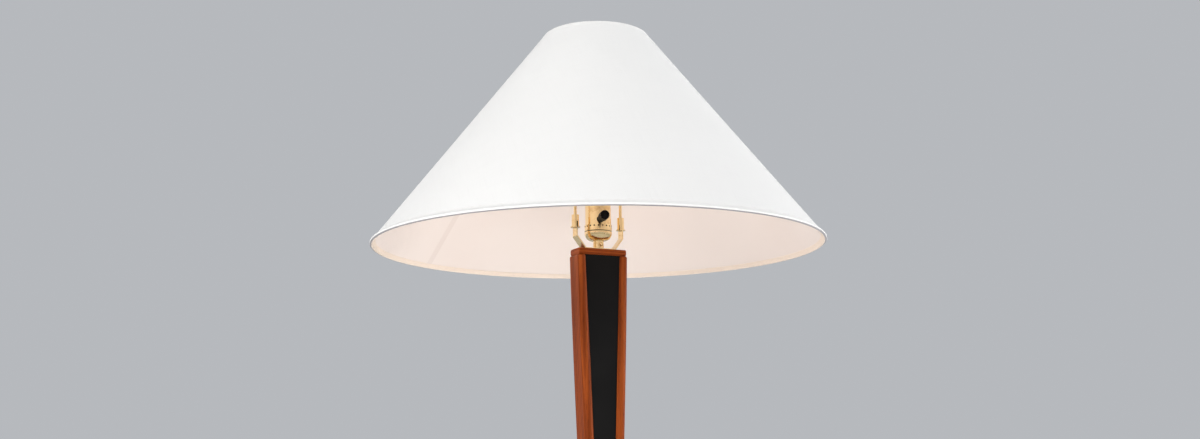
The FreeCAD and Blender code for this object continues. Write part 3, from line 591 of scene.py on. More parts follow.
@dataclass(frozen=True)
class Linen(Finish):
    """The cover's white linen, laminated on a stiff sheet, in the threads of the flat cloth."""

    colour: RGB = (0.90, 0.905, 0.91)
    shadow: RGB = (0.80, 0.805, 0.815)
    thread: float = 0.9 * MM
    relief: float = 0.12 * MM

    def material(self) -> bpy.types.Material:
        """Plain weave with slubs along both ways of the cloth.

        Returns:
            The finished material.
        """
        s = Surface(self.name)
        cut = s.cut()
        warp, weft, _ = s.parts(cut)
        wander = s.noise(cut, 60.0, 2.0) * 0.8
        per_metre = TURN / self.thread
        over = (warp * per_metre + wander).sine() * (weft * per_metre + wander).sine()
        slub_along = s.noise(s.stretched(cut, (22.0, 1100.0, 1.0)), 1.0, 2.0).step(0.5, 0.74)
        slub_across = s.noise(s.stretched(cut, (1100.0, 22.0, 1.0)), 1.0, 2.0).step(0.5, 0.74)
        cloud = s.noise(cut, 9.0, 3.0)
        slubs = slub_along * 0.5 + slub_across * 0.5
        tone = slubs * 0.35 + (0.5 - over * 0.5) * 0.22 + cloud * 0.18
        return s.fill({"Base Color": s.mix(tone, self.colour, self.shadow),
                       "Roughness": 0.86 - slubs * 0.1, "Specular IOR Level": 0.25,
                       "Sheen Weight": 0.12, "Sheen Roughness": 0.5},
                      over * 0.35 + slubs * 0.65, self.relief)


@dataclass(frozen=True)
class LinerSheet(Finish):
    """The liner's warm, faintly glossy sheet."""

    colour: RGB = (0.930, 0.835, 0.785)
    shadow: RGB = (0.90, 0.79, 0.735)
    lapped: RGB = (0.77, 0.65, 0.60)
    relief: float = 0.03 * MM

    def material(self) -> bpy.types.Material:
        """Cloudy tone, a very fine pressed grain, and a darker band where the start lies over the end.

        Returns:
            The finished material.
        """
        s = Surface(self.name)
        cut = s.cut()
        along, across, _ = s.parts(cut)
        seam = abs(across - LAP / 2).step(LAP * 0.52, LAP * 0.36) * s.math("GREATER_THAN", along, 0.0)
        cloud = s.noise(cut, 7.0, 3.0)
        grain = s.noise(cut, 1300.0, 2.0)
        sheet = s.mix(cloud.step(0.35, 0.75) * 0.6, self.colour, self.shadow)
        return s.fill({"Base Color": s.mix(seam * 0.32, sheet, self.lapped),
                       "Roughness": 0.52 + cloud * 0.12, "Specular IOR Level": 0.35}, grain, self.relief)


@dataclass(frozen=True)
class RolledTape(Finish):
    """The fabric rolled round the rings: the cover's linen outside, painted shade in grey under the bottom
    bead, and the liner's warm tone inside.
    """

    outer: RGB = (0.90, 0.905, 0.91)
    painted_shade_grey: RGB = (0.31, 0.30, 0.32)
    inner: RGB = (0.96, 0.82, 0.70)
    slubbed: RGB = (0.62, 0.58, 0.56)
    relief: float = 0.1 * MM

    def material(self) -> bpy.types.Material:
        """A fine weave, with painted shade in grey along its lowest line, and warm on the side that faces
        the bulb.

        Returns:
            The finished material.
        """
        s = Surface(self.name)
        inside = Value(s, s.add("ShaderNodeAttribute", {"attribute_name": "inside"}).outputs["Fac"])
        weave = s.noise(s.place, 1500.0, 2.0)
        slubs = s.noise(s.stretched(s.place, (150.0, 150.0, 900.0)), 1.0, 2.0).step(0.5, 0.72)
        # grey painted shade between the outside and the inside, along the underside of the rolled bead
        cloth = s.tones(inside, [(0.20, self.outer), (0.27, self.painted_shade_grey),
                                 (0.46, self.painted_shade_grey), (0.52, self.inner)])
        return s.fill({"Base Color": s.mix(slubs * 0.18 + weave * 0.1, cloth, self.slubbed),
                       "Roughness": 0.84, "Specular IOR Level": 0.25, "Sheen Weight": 0.12},
                      weave * 0.6 + slubs * 0.4, self.relief)


@dataclass(frozen=True)
class FeltCloth(Finish):
    """Pressed wool felt."""

    colour: RGB = (0.016, 0.040, 0.022)
    hair: RGB = (0.040, 0.082, 0.050)
    relief: float = 0.5 * MM

    def material(self) -> bpy.types.Material:
        """Matted hair with a soft sheen.

        Returns:
            The finished material.
        """
        s = Surface(self.name)
        matted = s.noise(s.place, 900.0, 4.0, 0.7, 2.0) * 0.7 + s.noise(s.place, 120.0, 3.0) * 0.3
        return s.fill({"Base Color": s.mix(matted, self.colour, self.hair), "Roughness": 0.95,
                       "Specular IOR Level": 0.15, "Sheen Weight": 0.35}, matted, self.relief)


BOARD_WOOD = Walnut("walnut_upright")
CROSS_WOOD = Walnut("walnut_level", Grain.ALONG_X, (0.015, -0.075))
PANEL_BLACK = BlackLacquer("black_panel")
BRASS = Metal("brass_turned", coat=0.3)
BRASS_WIRE = Metal("brass_drawn", working=Working.DRAWN, roughness=0.18, coat=0.3)
CUP_BRASS = DimpledBrass("brass_cup")
CONTACT_BRASS = Metal("brass_contact", (0.80, 0.55, 0.26), (0.45, 0.26, 0.10), 0.28)
STEEL = Metal("zinc_steel", (0.60, 0.61, 0.62), (0.36, 0.35, 0.33), 0.32)
ALUMINIUM = Metal("aluminium", (0.78, 0.78, 0.79), (0.56, 0.56, 0.57), 0.26)
IRON = CastIron("cast_iron")
WHITE_ENAMEL = Enamel("white_enamel")
KNOB_BLACK = Moulding("knob_black")
PHENOLIC = Moulding("phenolic", (0.035, 0.016, 0.010), (0.070, 0.036, 0.024), 0.34)
NYLON = Moulding("nylon_black", (0.020, 0.020, 0.021), (0.045, 0.045, 0.045), 0.42)
BLACK_GLASS = Moulding("black_glass", (0.006, 0.006, 0.008), (0.012, 0.012, 0.014), 0.12)
CARD = Card("insulating_card")
GLASS = FrostedGlass("frosted_glass")
LINEN = Linen("white_linen")
LINER = LinerSheet("warm_liner")
TAPE = RolledTape("rolled_tape")
FELT = FeltCloth("wool_felt")


# ---------------------------------------------------------------- meshes
def new_object(name: str, data: bpy.types.ID) -> bpy.types.Object:
    """Puts a new object in the scene.

    Args:
        name: The object's name.
        data: Its mesh, lamp or camera.

    Returns:
        The object.
    """
    thing = bpy.data.objects.new(name, data)
    bpy.context.scene.collection.objects.link(thing)
    return thing


@contextmanager
def editing(mesh: bpy.types.Mesh) -> Iterator[bmesh.types.BMesh]:
    """Opens a mesh for editing, and writes it back when the block ends.

    Args:
        mesh: The mesh to edit.

    Yields:
        Its editable form.
    """
    work = bmesh.new()
    work.from_mesh(mesh)
    yield work
    work.to_mesh(mesh)
    work.free()


def lathe(name: str, outline: Outline, steps: int = 96) -> bpy.types.Mesh:
    """Turns a closed outline about Z.

    Args:
        name: The mesh's name.
        outline: (radius, height) points in order. A point at radius 0 lies on the axis.
        steps: How many sides the turned piece has.

    Returns:
        A closed mesh whose faces point outwards.
    """
    mesh = bpy.data.meshes.new(name)
    count = len(outline)
    points = [(r * math.cos(TURN * i / steps), r * math.sin(TURN * i / steps), z)
              for i in range(steps) for r, z in outline]
    faces = [(i * count + j, (i + 1) % steps * count + j, (i + 1) % steps * count + (j + 1) % count,
              i * count + (j + 1) % count) for i in range(steps) for j in range(count)]
    mesh.from_pydata(points, [], faces)
    tidy(mesh, SOFT_EDGE)
    return mesh


def tidy(mesh: bpy.types.Mesh, crease: float) -> None:
    """Merges doubles, drops empty faces, turns the faces outwards and smooths all but sharp edges.

    Args:
        mesh: The mesh to tidy.
        crease: Edges with a sharper angle than this stay sharp.
    """
    with editing(mesh) as work:
        bmesh.ops.remove_doubles(work, verts=work.verts, dist=SAME_POINT)
        bmesh.ops.dissolve_degenerate(work, edges=work.edges, dist=SAME_POINT / 10)
        bmesh.ops.recalc_face_normals(work, faces=work.faces)
        for face in work.faces:
            face.smooth = True
        for edge in work.edges:
            edge.smooth = len(edge.link_faces) != 2 or edge.calc_face_angle(0.0) < crease


def shaped(thing: bpy.types.Object) -> bpy.types.Object:
    """Applies an object's modifiers to its mesh.

    Args:
        thing: The object.

    Returns:
        The same object, with its final mesh.
    """
    graph = bpy.context.evaluated_depsgraph_get()
    result = bpy.data.meshes.new_from_object(thing.evaluated_get(graph))
    thing.modifiers.clear()
    thing.data = result
    return thing


def thickened(thing: bpy.types.Object, wall: float, offset: float = -1.0) -> bpy.types.Object:
    """Gives a sheet its thickness.

    Args:
        thing: An object with an open mesh.
        wall: The thickness.
        offset: -1 to grow against the faces' direction, 1 along it and 0 both ways.

    Returns:
        The object, with its modifier applied.
    """
    solid = thing.modifiers.new("wall", "SOLIDIFY")
    solid.thickness, solid.offset, solid.use_even_offset = wall, offset, True
    return shaped(thing)


class Recipe(Bench):
    """A Geometry Nodes tree with named sizes, which makes one plain mesh."""

    def __init__(self, name: str, finish: Finish) -> None:
        """Starts a tree.

        Args:
            name: The tree's name.
            finish: What its mesh is finished with.
        """
        tree = bpy.data.node_groups.new(name, "GeometryNodeTree")
        tree.interface.new_socket("Geometry", in_out="INPUT", socket_type="NodeSocketGeometry")
        tree.interface.new_socket("Geometry", in_out="OUTPUT", socket_type="NodeSocketGeometry")
        super().__init__(tree)
        self.name = name
        self.finish = finish
        self.entry = self.add("NodeGroupInput")
        self.keys: dict[str, str] = {}

    def sizes(self, *labels: str) -> list[Value]:
        """Gives the tree named inputs.

        Args:
            labels: The inputs' names.

        Returns:
            Their values, in the same order.
        """
        for label in labels:
            item = self.tree.interface.new_socket(label, in_out="INPUT", socket_type="NodeSocketFloat")
            self.keys[label] = item.identifier
        return [Value(self, self.entry.outputs[label]) for label in labels]

    def close(self, geometry: bpy.types.NodeSocket) -> None:
        """Ends the tree: instances made real, smooth faces and the material.

        Args:
            geometry: What the tree has made.
        """
        real = self.add("GeometryNodeRealizeInstances", inputs={0: geometry}).outputs[0]
        smooth = self.add("GeometryNodeSetShadeSmooth", inputs={0: real}).outputs[0]
        dressed = self.add("GeometryNodeSetMaterial",
                           inputs={0: smooth, "Material": material_of(self.finish)}).outputs[0]
        self.add("NodeGroupOutput", inputs={0: dressed})

    def make(self, name: str, sizes: Mapping[str, float],
             start: bpy.types.Mesh | None = None) -> bpy.types.Object:
        """Runs the tree.

        Args:
            name: The new object's name.
            sizes: A value for each of the tree's named inputs.
            start: A mesh that the tree starts from, if it needs one.

        Returns:
            An object with the plain mesh that the tree made.
        """
        thing = new_object(name, start or bpy.data.meshes.new(name))
        maker = thing.modifiers.new(self.name, "NODES")
        maker.node_group = self.tree
        for label, amount in sizes.items():
            maker[self.keys[label]] = float(amount)
        return shaped(thing)


def patch(bench: Recipe, around: int, up: int) -> tuple[bpy.types.NodeSocket, Value, Value]:
    """A grid that a recipe bends into a surface.

    Args:
        bench: The recipe.
        around: Points one way.
        up: Points the other way.

    Returns:
        The grid, and each point's share of the way across it and up it.
    """
    grid = bench.add("GeometryNodeMeshGrid", inputs={"Size X": 1.0, "Size Y": 1.0, "Vertices X": around,
                                                     "Vertices Y": up}).outputs[0]
    x, y, _ = bench.parts(bench.add("GeometryNodeInputPosition").outputs[0])
    return grid, x + 0.5, y + 0.5


def thread_recipe(name: str, finish: Finish, levels: int, pointed: bool = False) -> Recipe:
    """A round sleeve with a screw thread that runs out at both ends.

    Args:
        name: The tree's name.
        finish: What the sleeve is finished with.
        levels: How many rows of points it has.
        pointed: True for a cut thread with straight flanks, False for a rounded one rolled in sheet.

    Returns:
        A recipe with the sizes Radius, Depth, Pitch, Foot and Height.
    """
    bench = Recipe(name, finish)
    radius, depth, pitch, foot, height = bench.sizes("Radius", "Depth", "Pitch", "Foot", "Height")
    grid, u, v = patch(bench, THREAD_SIDES + 1, levels)
    rise = v * height
    turns = (rise + foot) / pitch - u
    if pointed:
        wave = bench.math("PINGPONG", turns * 2.0, 1.0)
    else:
        wave = 0.5 - (turns * TURN).cosine() * 0.5
    near_end = bench.math("MINIMUM", rise, height - rise) / pitch
    r = radius - depth * wave * near_end.step(*RUN_OUT)
    point = bench.vector(r * (u * TURN).cosine(), r * (u * TURN).sine(), foot + rise)
    bent = bench.add("GeometryNodeSetPosition", inputs={"Geometry": grid, "Position": point}).outputs[0]
    closed = bench.add("GeometryNodeMergeByDistance", inputs={"Geometry": bent, "Distance": SAME_RIM})
    bench.close(closed.outputs[0])
    return bench


def ramp(bench: Bench, value: Value) -> Value:
    """A value held between 0 and 1."""
    return bench.math("MINIMUM", bench.math("MAXIMUM", value, 0.0), 1.0)


def cone_recipe(name: str, finish: Finish) -> Recipe:
    """A flat sheet rolled into a cone, with its end lapped over its start.

    Each point keeps its place on the flat cloth in the attribute "cut". A lap step above 0 lays the
    sheet's end outside its start, and a step below 0 lays its start inside its end.

    Args:
        name: The tree's name.
        finish: What the sheet is finished with.

    Returns:
        A recipe with the sizes Foot Radius, Top Radius, Foot, Top, Seam, Lap and Lap Step.
    """
    bench = Recipe(name, finish)
    foot_r, top_r, foot, top, seam, lap, step = bench.sizes("Foot Radius", "Top Radius", "Foot", "Top",
                                                            "Seam", "Lap", "Lap Step")
    grid, u, v = patch(bench, *CLOTH_GRID)
    angle = u * (lap / foot_r + TURN)
    lean = (foot_r - top_r) / (top - foot)
    slant = bench.math("SQRT", lean * lean + 1.0)
    rising = ramp(bench, (angle - TURN + lap / foot_r) * foot_r / (lap * 0.5))
    falling = ramp(bench, (lap * 1.5 - angle * foot_r) / (lap * 0.5))
    over, under = rising * bench.math("MAXIMUM", step, 0.0), falling * bench.math("MINIMUM", step, 0.0)
    # between its two rings the sheet isn't quite round, by a quarter of a millimetre at most
    waves = (angle * 7.0).sine() * (0.10 * MM) + (angle * 3.0 + 1.0).sine() * (0.14 * MM)
    belly = (v * math.pi).sine() * waves
    r = foot_r + (top_r - foot_r) * v + over + under + belly
    turned = angle + seam
    point = bench.vector(r * turned.cosine(), r * turned.sine(), foot + (top - foot) * v)
    reach = (foot_r + (top_r - foot_r) * v) * slant / lean
    sweep = angle * lean / slant
    cut = bench.vector(reach * sweep.cosine(), reach * sweep.sine(), 0.0)
    kept = bench.add("GeometryNodeStoreNamedAttribute", {"data_type": "FLOAT_VECTOR", "domain": "POINT"},
                     {"Geometry": grid, "Name": "cut", "Value": cut}).outputs[0]
    bent = bench.add("GeometryNodeSetPosition", inputs={"Geometry": kept, "Position": point}).outputs[0]
    bench.close(bent)
    return bench


def hoop_recipe(name: str, finish: Finish) -> Recipe:
    """A strip of cloth carried round a hoop, its section being the mesh that the tree starts from.

    Args:
        name: The tree's name.
        finish: What the strip is finished with.

    Returns:
        A recipe with the sizes Radius and Height.
    """
    bench = Recipe(name, finish)
    radius, height = bench.sizes("Radius", "Height")
    hoop = bench.add("GeometryNodeCurvePrimitiveCircle", {"mode": "RADIUS"},
                     {"Resolution": HOOP_SIDES, "Radius": radius}).outputs[0]
    section = bench.add("GeometryNodeMeshToCurve", inputs={0: bench.entry.outputs[0]}).outputs[0]
    swept = bench.add("GeometryNodeCurveToMesh", inputs={"Curve": hoop, "Profile Curve": section})
    raised = bench.add("GeometryNodeTransform",
                       inputs={"Geometry": swept.outputs[0], "Translation": bench.vector(0.0, 0.0, height)})
    bench.close(raised.outputs[0])
    return bench


def bead_recipe(name: str, finish: Finish) -> Recipe:
    """Small weld beads at equal steps round a circle.

    Args:
        name: The tree's name.
        finish: What the beads are finished with.

    Returns:
        A recipe with the sizes Radius, Height, Bead and First Angle.
    """
    bench = Recipe(name, finish)
    radius, height, bead, first = bench.sizes("Radius", "Height", "Bead", "First Angle")
    circle = bench.add("GeometryNodeMeshCircle", inputs={"Vertices": SPIDER_ARMS, "Radius": radius})
    drop = bench.add("GeometryNodeMeshUVSphere", inputs={"Segments": 14, "Rings": 9, "Radius": bead})
    drops = bench.add("GeometryNodeInstanceOnPoints",
                      inputs={"Points": circle.outputs[0], "Instance": drop.outputs[0],
                              "Scale": (1.0, 1.0, BEAD_FLATNESS)})
    placed = bench.add("GeometryNodeTransform",
                       inputs={"Geometry": drops.outputs[0], "Translation": bench.vector(0.0, 0.0, height),
                               "Rotation": bench.vector(0.0, 0.0, first)})
    bench.close(placed.outputs[0])
    return bench


# ---------------------------------------------------------------- sub-assemblies
class Assembly:
    """A sub-assembly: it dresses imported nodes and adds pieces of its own."""

    body = Body.STAND

    def build(self) -> None:
        """Builds the sub-assembly."""
        raise NotImplementedError

    def dress(self, finish: Finish, *names: str) -> None:
        """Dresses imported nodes.

        Args:
            finish: What they are finished with.
            names: The nodes.
        """
        for name in names:
            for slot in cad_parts[name].material_slots:
                slot.link = "OBJECT"
                slot.material = material_of(finish)
            log.info("%s: dressed in %s", name, finish.name)

    def place(self, piece: bpy.types.Object, finish: Finish, slot: str, *stands_for: str) -> None:
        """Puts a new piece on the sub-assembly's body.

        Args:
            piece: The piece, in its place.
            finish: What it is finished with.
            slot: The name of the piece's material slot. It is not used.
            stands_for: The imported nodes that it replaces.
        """
        piece.data.materials.clear()
        piece.data.materials.append(material_of(finish))
        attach(piece, self.body.value)
        if stands_for:
            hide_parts(*stands_for)
        log.info("%s: %d faces, on %s", piece.name, len(piece.data.polygons), self.body.value)


@dataclass
class Plinth(Assembly):
    """The walnut plinth with its iron weight, screws, felt and the lead's bushing."""

    felt_rounding: float = 24.0 * MM
    felt_t: float = 2.0 * MM
    felt_rings: tuple[float, ...] = (0.999, 0.992, 0.95, 0.7, 0.35)
    corner_steps: int = 12

    def build(self) -> None:
        """Dresses the plinth and lays the felt under it."""
        self.dress(CROSS_WOOD, "plinth")
        self.dress(IRON, "base_weight")
        self.dress(STEEL, "weight_screws", "column_screws")
        self.dress(NYLON, "inlet_bushing")
        self.felt()

    def felt(self) -> None:
        """The felt: a sheet cut square with rounded corners."""
        low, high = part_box("felt_pad")
        side = high.x - low.x
        reach = side / 2 - self.felt_rounding
        corner = Vector((reach, reach, 0.0))
        rim = []
        for quarter in range(4):
            turn = Matrix.Rotation(quarter * TURN / 4, 3, "Z")
            for step in range(self.corner_steps + 1):
                angle = TURN / 4 * step / self.corner_steps
                out = Vector((math.cos(angle), math.sin(angle), 0.0))
                rim.append(turn @ (corner + self.felt_rounding * out))
        mesh = bpy.data.meshes.new("felt_sheet")
        with editing(mesh) as work:
            rings = [[work.verts.new((p.x * share, p.y * share, self.felt_t)) for p in rim]
                     for share in self.felt_rings]
            for outer, inner in zip(rings, rings[1:]):
                for i in range(len(outer)):
                    j = (i + 1) % len(outer)
                    work.faces.new((outer[i], outer[j], inner[j], inner[i]))
            work.faces.new(rings[-1])
        sheet = thickened(new_object("felt_sheet", mesh), self.felt_t)
        tidy(sheet.data, CLOTH_EDGE)
        self.place(sheet, FELT, "felt", "felt_pad")


class Column(Assembly):
    """Two boards, two black panels, the blocks and dowels between them, and the cap."""

    def build(self) -> None:
        """Dresses the column."""
        self.dress(BOARD_WOOD, "left_board", "right_board", "top_block", "bottom_block")
        self.dress(CROSS_WOOD, "top_cap", "board_dowels")
        self.dress(PANEL_BLACK, "front_panel", "back_panel")


@dataclass
class Socket(Assembly):
    """The brass socket on its threaded nipple, the harp's saddle, and the turn knob."""

    shell_levels: int = 72
    shell_floor_t: float = 0.6 * MM
    shell_floor_gap: float = 0.1 * MM
    shell_floor_bore_r: float = 8.0 * MM
    nipple_levels: int = 242
    nipple_pitch: float = 1.25 * MM
    nipple_depth: float = 0.6 * MM
    nipple_bore_r: float = 3.3 * MM
    screw_head_r: float = 2.4 * MM
    screw_head_t: float = 1.6 * MM
    screw_shank_r: float = 1.5 * MM
    screw_sides: int = 48
    screw_chamfer: tuple[float, float] = (0.3 * MM, 0.4 * MM)
    screw_reach: tuple[float, float] = (4.9 * MM, 9.5 * MM)
    slot_w: float = 0.8 * MM
    slot_depth: float = 0.7 * MM
    slot_turn: float = math.radians(25)

    def build(self) -> None:
        """Dresses the socket and adds its threads and set screw."""
        self.dress(CUP_BRASS, "socket_cap")
        self.dress(BRASS, "socket_shell")
        self.dress(BRASS_WIRE, "harp_saddle")
        self.dress(CARD, "socket_insulator")
        self.dress(PHENOLIC, "socket_body")
        self.dress(CONTACT_BRASS, "socket_centre_contact", "terminal_screws", "switch_spindle")
        self.dress(KNOB_BLACK, "switch_knob")
        self.dress(STEEL, "nipple_nut", "nipple_washer")
        self.screw_shell()
        self.nipple()
        self.set_screw()

    def screw_shell(self) -> None:
        """The shell that the bulb screws into: rolled sheet with the bulb's thread, and its floor."""
        low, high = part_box("socket_screw_shell")
        top, bore = low.z + self.shell_floor_t, self.shell_floor_bore_r
        foot = top + self.shell_floor_gap
        recipe = thread_recipe("rolled_thread", CONTACT_BRASS, self.shell_levels)
        shell = recipe.make("screw_shell", {"Radius": high.x, "Depth": BULB_THREAD_DEPTH, "Foot": foot,
                                            "Pitch": BULB_PITCH, "Height": high.z - foot})
        thickened(shell, ROLLED_WALL)
        floor = lathe("screw_shell_floor", [(bore, low.z), (high.x, low.z), (high.x, top), (bore, top)])
        joined(shell, floor)
        self.place(shell, CONTACT_BRASS, "contact_brass", "socket_screw_shell")

    def nipple(self) -> None:
        """The threaded tube."""
        low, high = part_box("nipple")
        recipe = thread_recipe("cut_thread", STEEL, self.nipple_levels, pointed=True)
        tube = recipe.make("nipple_thread", {"Radius": high.x, "Depth": self.nipple_depth, "Foot": low.z,
                                             "Pitch": self.nipple_pitch, "Height": high.z - low.z})
        bored(tube.data, self.nipple_bore_r)
        self.place(tube, STEEL, "steel", "nipple")

    def set_screw(self) -> None:
        """The slotted screw in the cup's hub."""
        low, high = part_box("socket_set_screw")
        centre = (low + high) / 2
        axis = Vector((centre.x, centre.y, 0.0)).normalized()
        tip, end = self.screw_reach
        foot = end - self.screw_head_t
        flat_r, side_top = self.screw_head_r - self.screw_chamfer[0], end - self.screw_chamfer[1]
        head_r, shank_r = self.screw_head_r, self.screw_shank_r
        outline = [(0.0, tip), (shank_r, tip), (shank_r, foot), (head_r, foot), (head_r, side_top),
                   (flat_r, end), (0.0, end)]
        screw = new_object("set_screw", lathe("set_screw", outline, self.screw_sides))
        # the slot's cutter is longer than the head is wide, and its upper half is in the air past the head
        bar = Matrix.Diagonal((self.slot_w, 2.4 * head_r, 2 * self.slot_depth, 1.0))
        slot = bpy.data.meshes.new("slot")
        with editing(slot) as work:
            bmesh.ops.create_cube(work, size=1.0, matrix=Matrix.Translation((0.0, 0.0, end)) @ bar)
        cutter = new_object("slot_cutter", slot)
        cutting = screw.modifiers.new("slot", "BOOLEAN")
        cutting.object, cutting.operation, cutting.solver = cutter, "DIFFERENCE", "EXACT"
        shaped(screw)
        bpy.data.objects.remove(cutter)
        turn = Vector((0.0, 0.0, 1.0)).rotation_difference(axis).to_matrix().to_4x4()
        screw.data.transform(Matrix.Translation((0.0, 0.0, centre.z)) @ turn
                             @ Matrix.Rotation(self.slot_turn, 4, "Z"))
        tidy(screw.data, SOFT_EDGE)
        self.place(screw, BRASS, "brass", "socket_set_screw")


class Harp(Assembly):
    """The wire bow, its seat and stud, and the two sliding ferrules."""

    def build(self) -> None:
        """Dresses the harp."""
        self.dress(BRASS_WIRE, "harp_bow", "harp_stud")
        self.dress(BRASS, "left_ferrule", "right_ferrule")


@dataclass
class Bulb(Assembly):
    """The bulb: frosted glass, a threaded base, black glass round its foot and the foot contact."""

    base_levels: int = 66
    foot_h: float = 4.0 * MM
    toe: Outline = ((-0.5 * MM, 0.8 * MM), (-0.5 * MM, 0.0), (0.0, 0.0), (1.2 * MM, 0.3 * MM))
    heel: Outline = ((-0.9 * MM, -0.8 * MM), (-0.6 * MM, 0.0), (-1.6 * MM, 0.0))

    def build(self) -> None:
        """Dresses the bulb and makes its base."""
        self.dress(GLASS, "bulb_glass")
        self.dress(CONTACT_BRASS, "bulb_contact")
        low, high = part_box("bulb_base")
        toe_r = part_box("bulb_contact")[1].x
        shoulder = low.z + self.foot_h
        recipe = thread_recipe("bulb_thread", ALUMINIUM, self.base_levels)
        base = recipe.make("bulb_screw_base", {"Radius": high.x, "Depth": BULB_THREAD_DEPTH,
                                               "Foot": shoulder, "Pitch": BULB_PITCH,
                                               "Height": high.z - shoulder})
        thickened(base, ROLLED_WALL)
        self.place(base, ALUMINIUM, "bulb_base", "bulb_base")
        outline = [(toe_r + out, low.z + up) for out, up in self.toe]
        outline += [(high.x + out, shoulder + up) for out, up in self.heel]
        foot = new_object("bulb_foot_glass", lathe("bulb_foot_glass", outline))
        self.place(foot, BLACK_GLASS, "knob_black", "bulb_base")


@dataclass
class Shade(Assembly):
    """The shade: linen cover and warm liner on two wire rings with rolled edges, and the spider."""

    body = Body.SHADE
    cover_t: float = 0.7 * MM
    liner_t: float = 0.8 * MM
    gap: float = 0.1 * MM
    cloth_rise: float = 1.2 * MM
    cover_drop: float = 0.6 * MM
    liner_drop: float = 2.8 * MM
    lap: float = LAP
    seam_step: float = 0.35 * MM
    seam_angle: float = math.radians(120.6)
    tape_t: float = 0.5 * MM
    lip_sink: float = 0.1 * MM
    bead_r: float = 2.0 * MM
    bottom_lip: Outline = ((0.0, 7.8 * MM), (0.0, 5.8 * MM), (0.3 * MM, 4.0 * MM), (0.8 * MM, 2.4 * MM))
    bottom_wrap: tuple[float, float, int] = (34.0, -211.0, 28)
    bottom_leg: tuple[float, ...] = (1.4 * MM, 3.0 * MM, 5.8 * MM)
    top_lip: tuple[float, ...] = (-4.6 * MM, -2.3 * MM, -0.8 * MM)
    top_wrap: tuple[float, float, int] = (0.0, 232.0, 29)
    top_neck: tuple[float, float] = (-0.4 * MM, -2.6 * MM)
    top_leg: Outline = ((-0.2 * MM, -4.0 * MM), (0.0, -5.2 * MM), (0.0, -8.5 * MM))
    near_middle: float = 0.2 * MM
    wrap_degrees: float = 280.0
    weld_r: float = 2.1 * MM
    weld_sink: float = 0.2 * MM
    ring_wire_r: float = 1.8 * MM
    rim: Vector = field(init=False)
    crown: Vector = field(init=False)
    foot: Vector = field(init=False)
    slope: Vector = field(init=False)
    outward: Vector = field(init=False)

    def __post_init__(self) -> None:
        """Takes the wires' radii and heights, and the wall's lean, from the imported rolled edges."""
        rim_low, rim_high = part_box("shade_bottom_roll")
        crown_low, crown_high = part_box("shade_top_roll")
        self.rim = Vector((rim_high.x - self.bead_r, (rim_low.z + rim_high.z) / 2))
        self.crown = Vector((crown_high.x - self.bead_r, (crown_low.z + crown_high.z) / 2))
        self.foot = Vector((rim_high.x, rim_low.z))
        self.slope = (Vector((crown_high.x - self.tape_t, crown_high.z)) - self.foot).normalized()
        self.outward = Vector((self.slope.y, -self.slope.x))

    def build(self) -> None:
        """Makes the fabric and dresses the wires."""
        self.dress(WHITE_ENAMEL, "shade_bottom_ring", "shade_top_ring", "spider_hub", "spider_arm_1",
                   "spider_arm_2", "spider_arm_3")
        self.cloth()
        self.rolls()
        self.welds()

    def on_wall(self, height: float, inset: float) -> float:
        """The wall's radius at a height, inset being measured square to the wall."""
        return self.foot.x + (height - self.foot.y) * self.slope.x / self.slope.y - inset / self.outward.x

    def cloth(self) -> None:
        """The cover and the liner, each a flat sheet rolled into a cone and lapped at the back left."""
        low, under = self.rim.y + self.cloth_rise, self.cover_t + self.gap
        for name, finish, node, drop, inset, wall, step in (
                ("cover_linen", LINEN, "shade_cover", self.cover_drop, 0.0, self.cover_t, self.cover_t),
                ("liner_sheet", LINER, "shade_liner", self.liner_drop, under, self.liner_t,
                 -self.seam_step)):
            high = self.crown.y - drop
            foot_r, top_r = self.on_wall(low, inset), self.on_wall(high, inset)
            sheet = cone_recipe(f"{name}_cone", finish).make(
                name, {"Foot Radius": foot_r, "Top Radius": top_r, "Foot": low, "Top": high,
                       "Seam": self.seam_angle, "Lap": self.lap, "Lap Step": step})
            thickened(sheet, wall)
            tidy(sheet.data, CLOTH_EDGE)
            self.place(sheet, finish, node, node)
            slant = math.hypot(foot_r - top_r, high - low)
            turn = TURN + self.lap / foot_r
            area = slant * (foot_r + top_r) / 2 * turn
            # the flat sheet is a ring sector of over half a turn, so its box is as wide as the whole ring
            reach, spread = foot_r * slant / (foot_r - top_r), turn * (foot_r - top_r) / slant
            2 * reach
            reach * (1.0 - math.cos(spread / 2))

    def section(self, ring: Vector, local: Outline) -> bpy.types.Mesh:
        """The strip's section as a chain of edges.

        Args:
            ring: The hoop's radius and height. It is not used.
            local: Points as (outwards from the wall, up the wall), measured from the hoop's wire.

        Returns:
            A mesh of edges, with x outwards and y down, which is how the sweep round a hoop takes it.
        """
        mesh = bpy.data.meshes.new("strip_section")
        points = [self.outward * out + self.slope * up for out, up in local]
        chain = [(i, i + 1) for i in range(len(points) - 1)]
        mesh.from_pydata([(p.x, -p.y, 0.0) for p in points], chain, [])
        return mesh

    def wrap(self, start: float, end: float, steps: int, outer: float) -> list[tuple[float, float]]:
        """The strip's middle line round a wire.

        Args:
            start: The angle in degrees where it begins, 0 being outwards and 90 up the wall.
            end: The angle where it ends.
            steps: How many parts it is divided into.
            outer: How far it reaches outwards from the wire's centre.

        Returns:
            Points as section takes them.
        """
        mid = self.bead_r - self.tape_t / 2
        angles = [math.radians(start + (end - start) * i / steps) for i in range(steps + 1)]
        return [((outer if a < TURN / 4 else mid) * math.cos(a), mid * math.sin(a)) for a in angles]

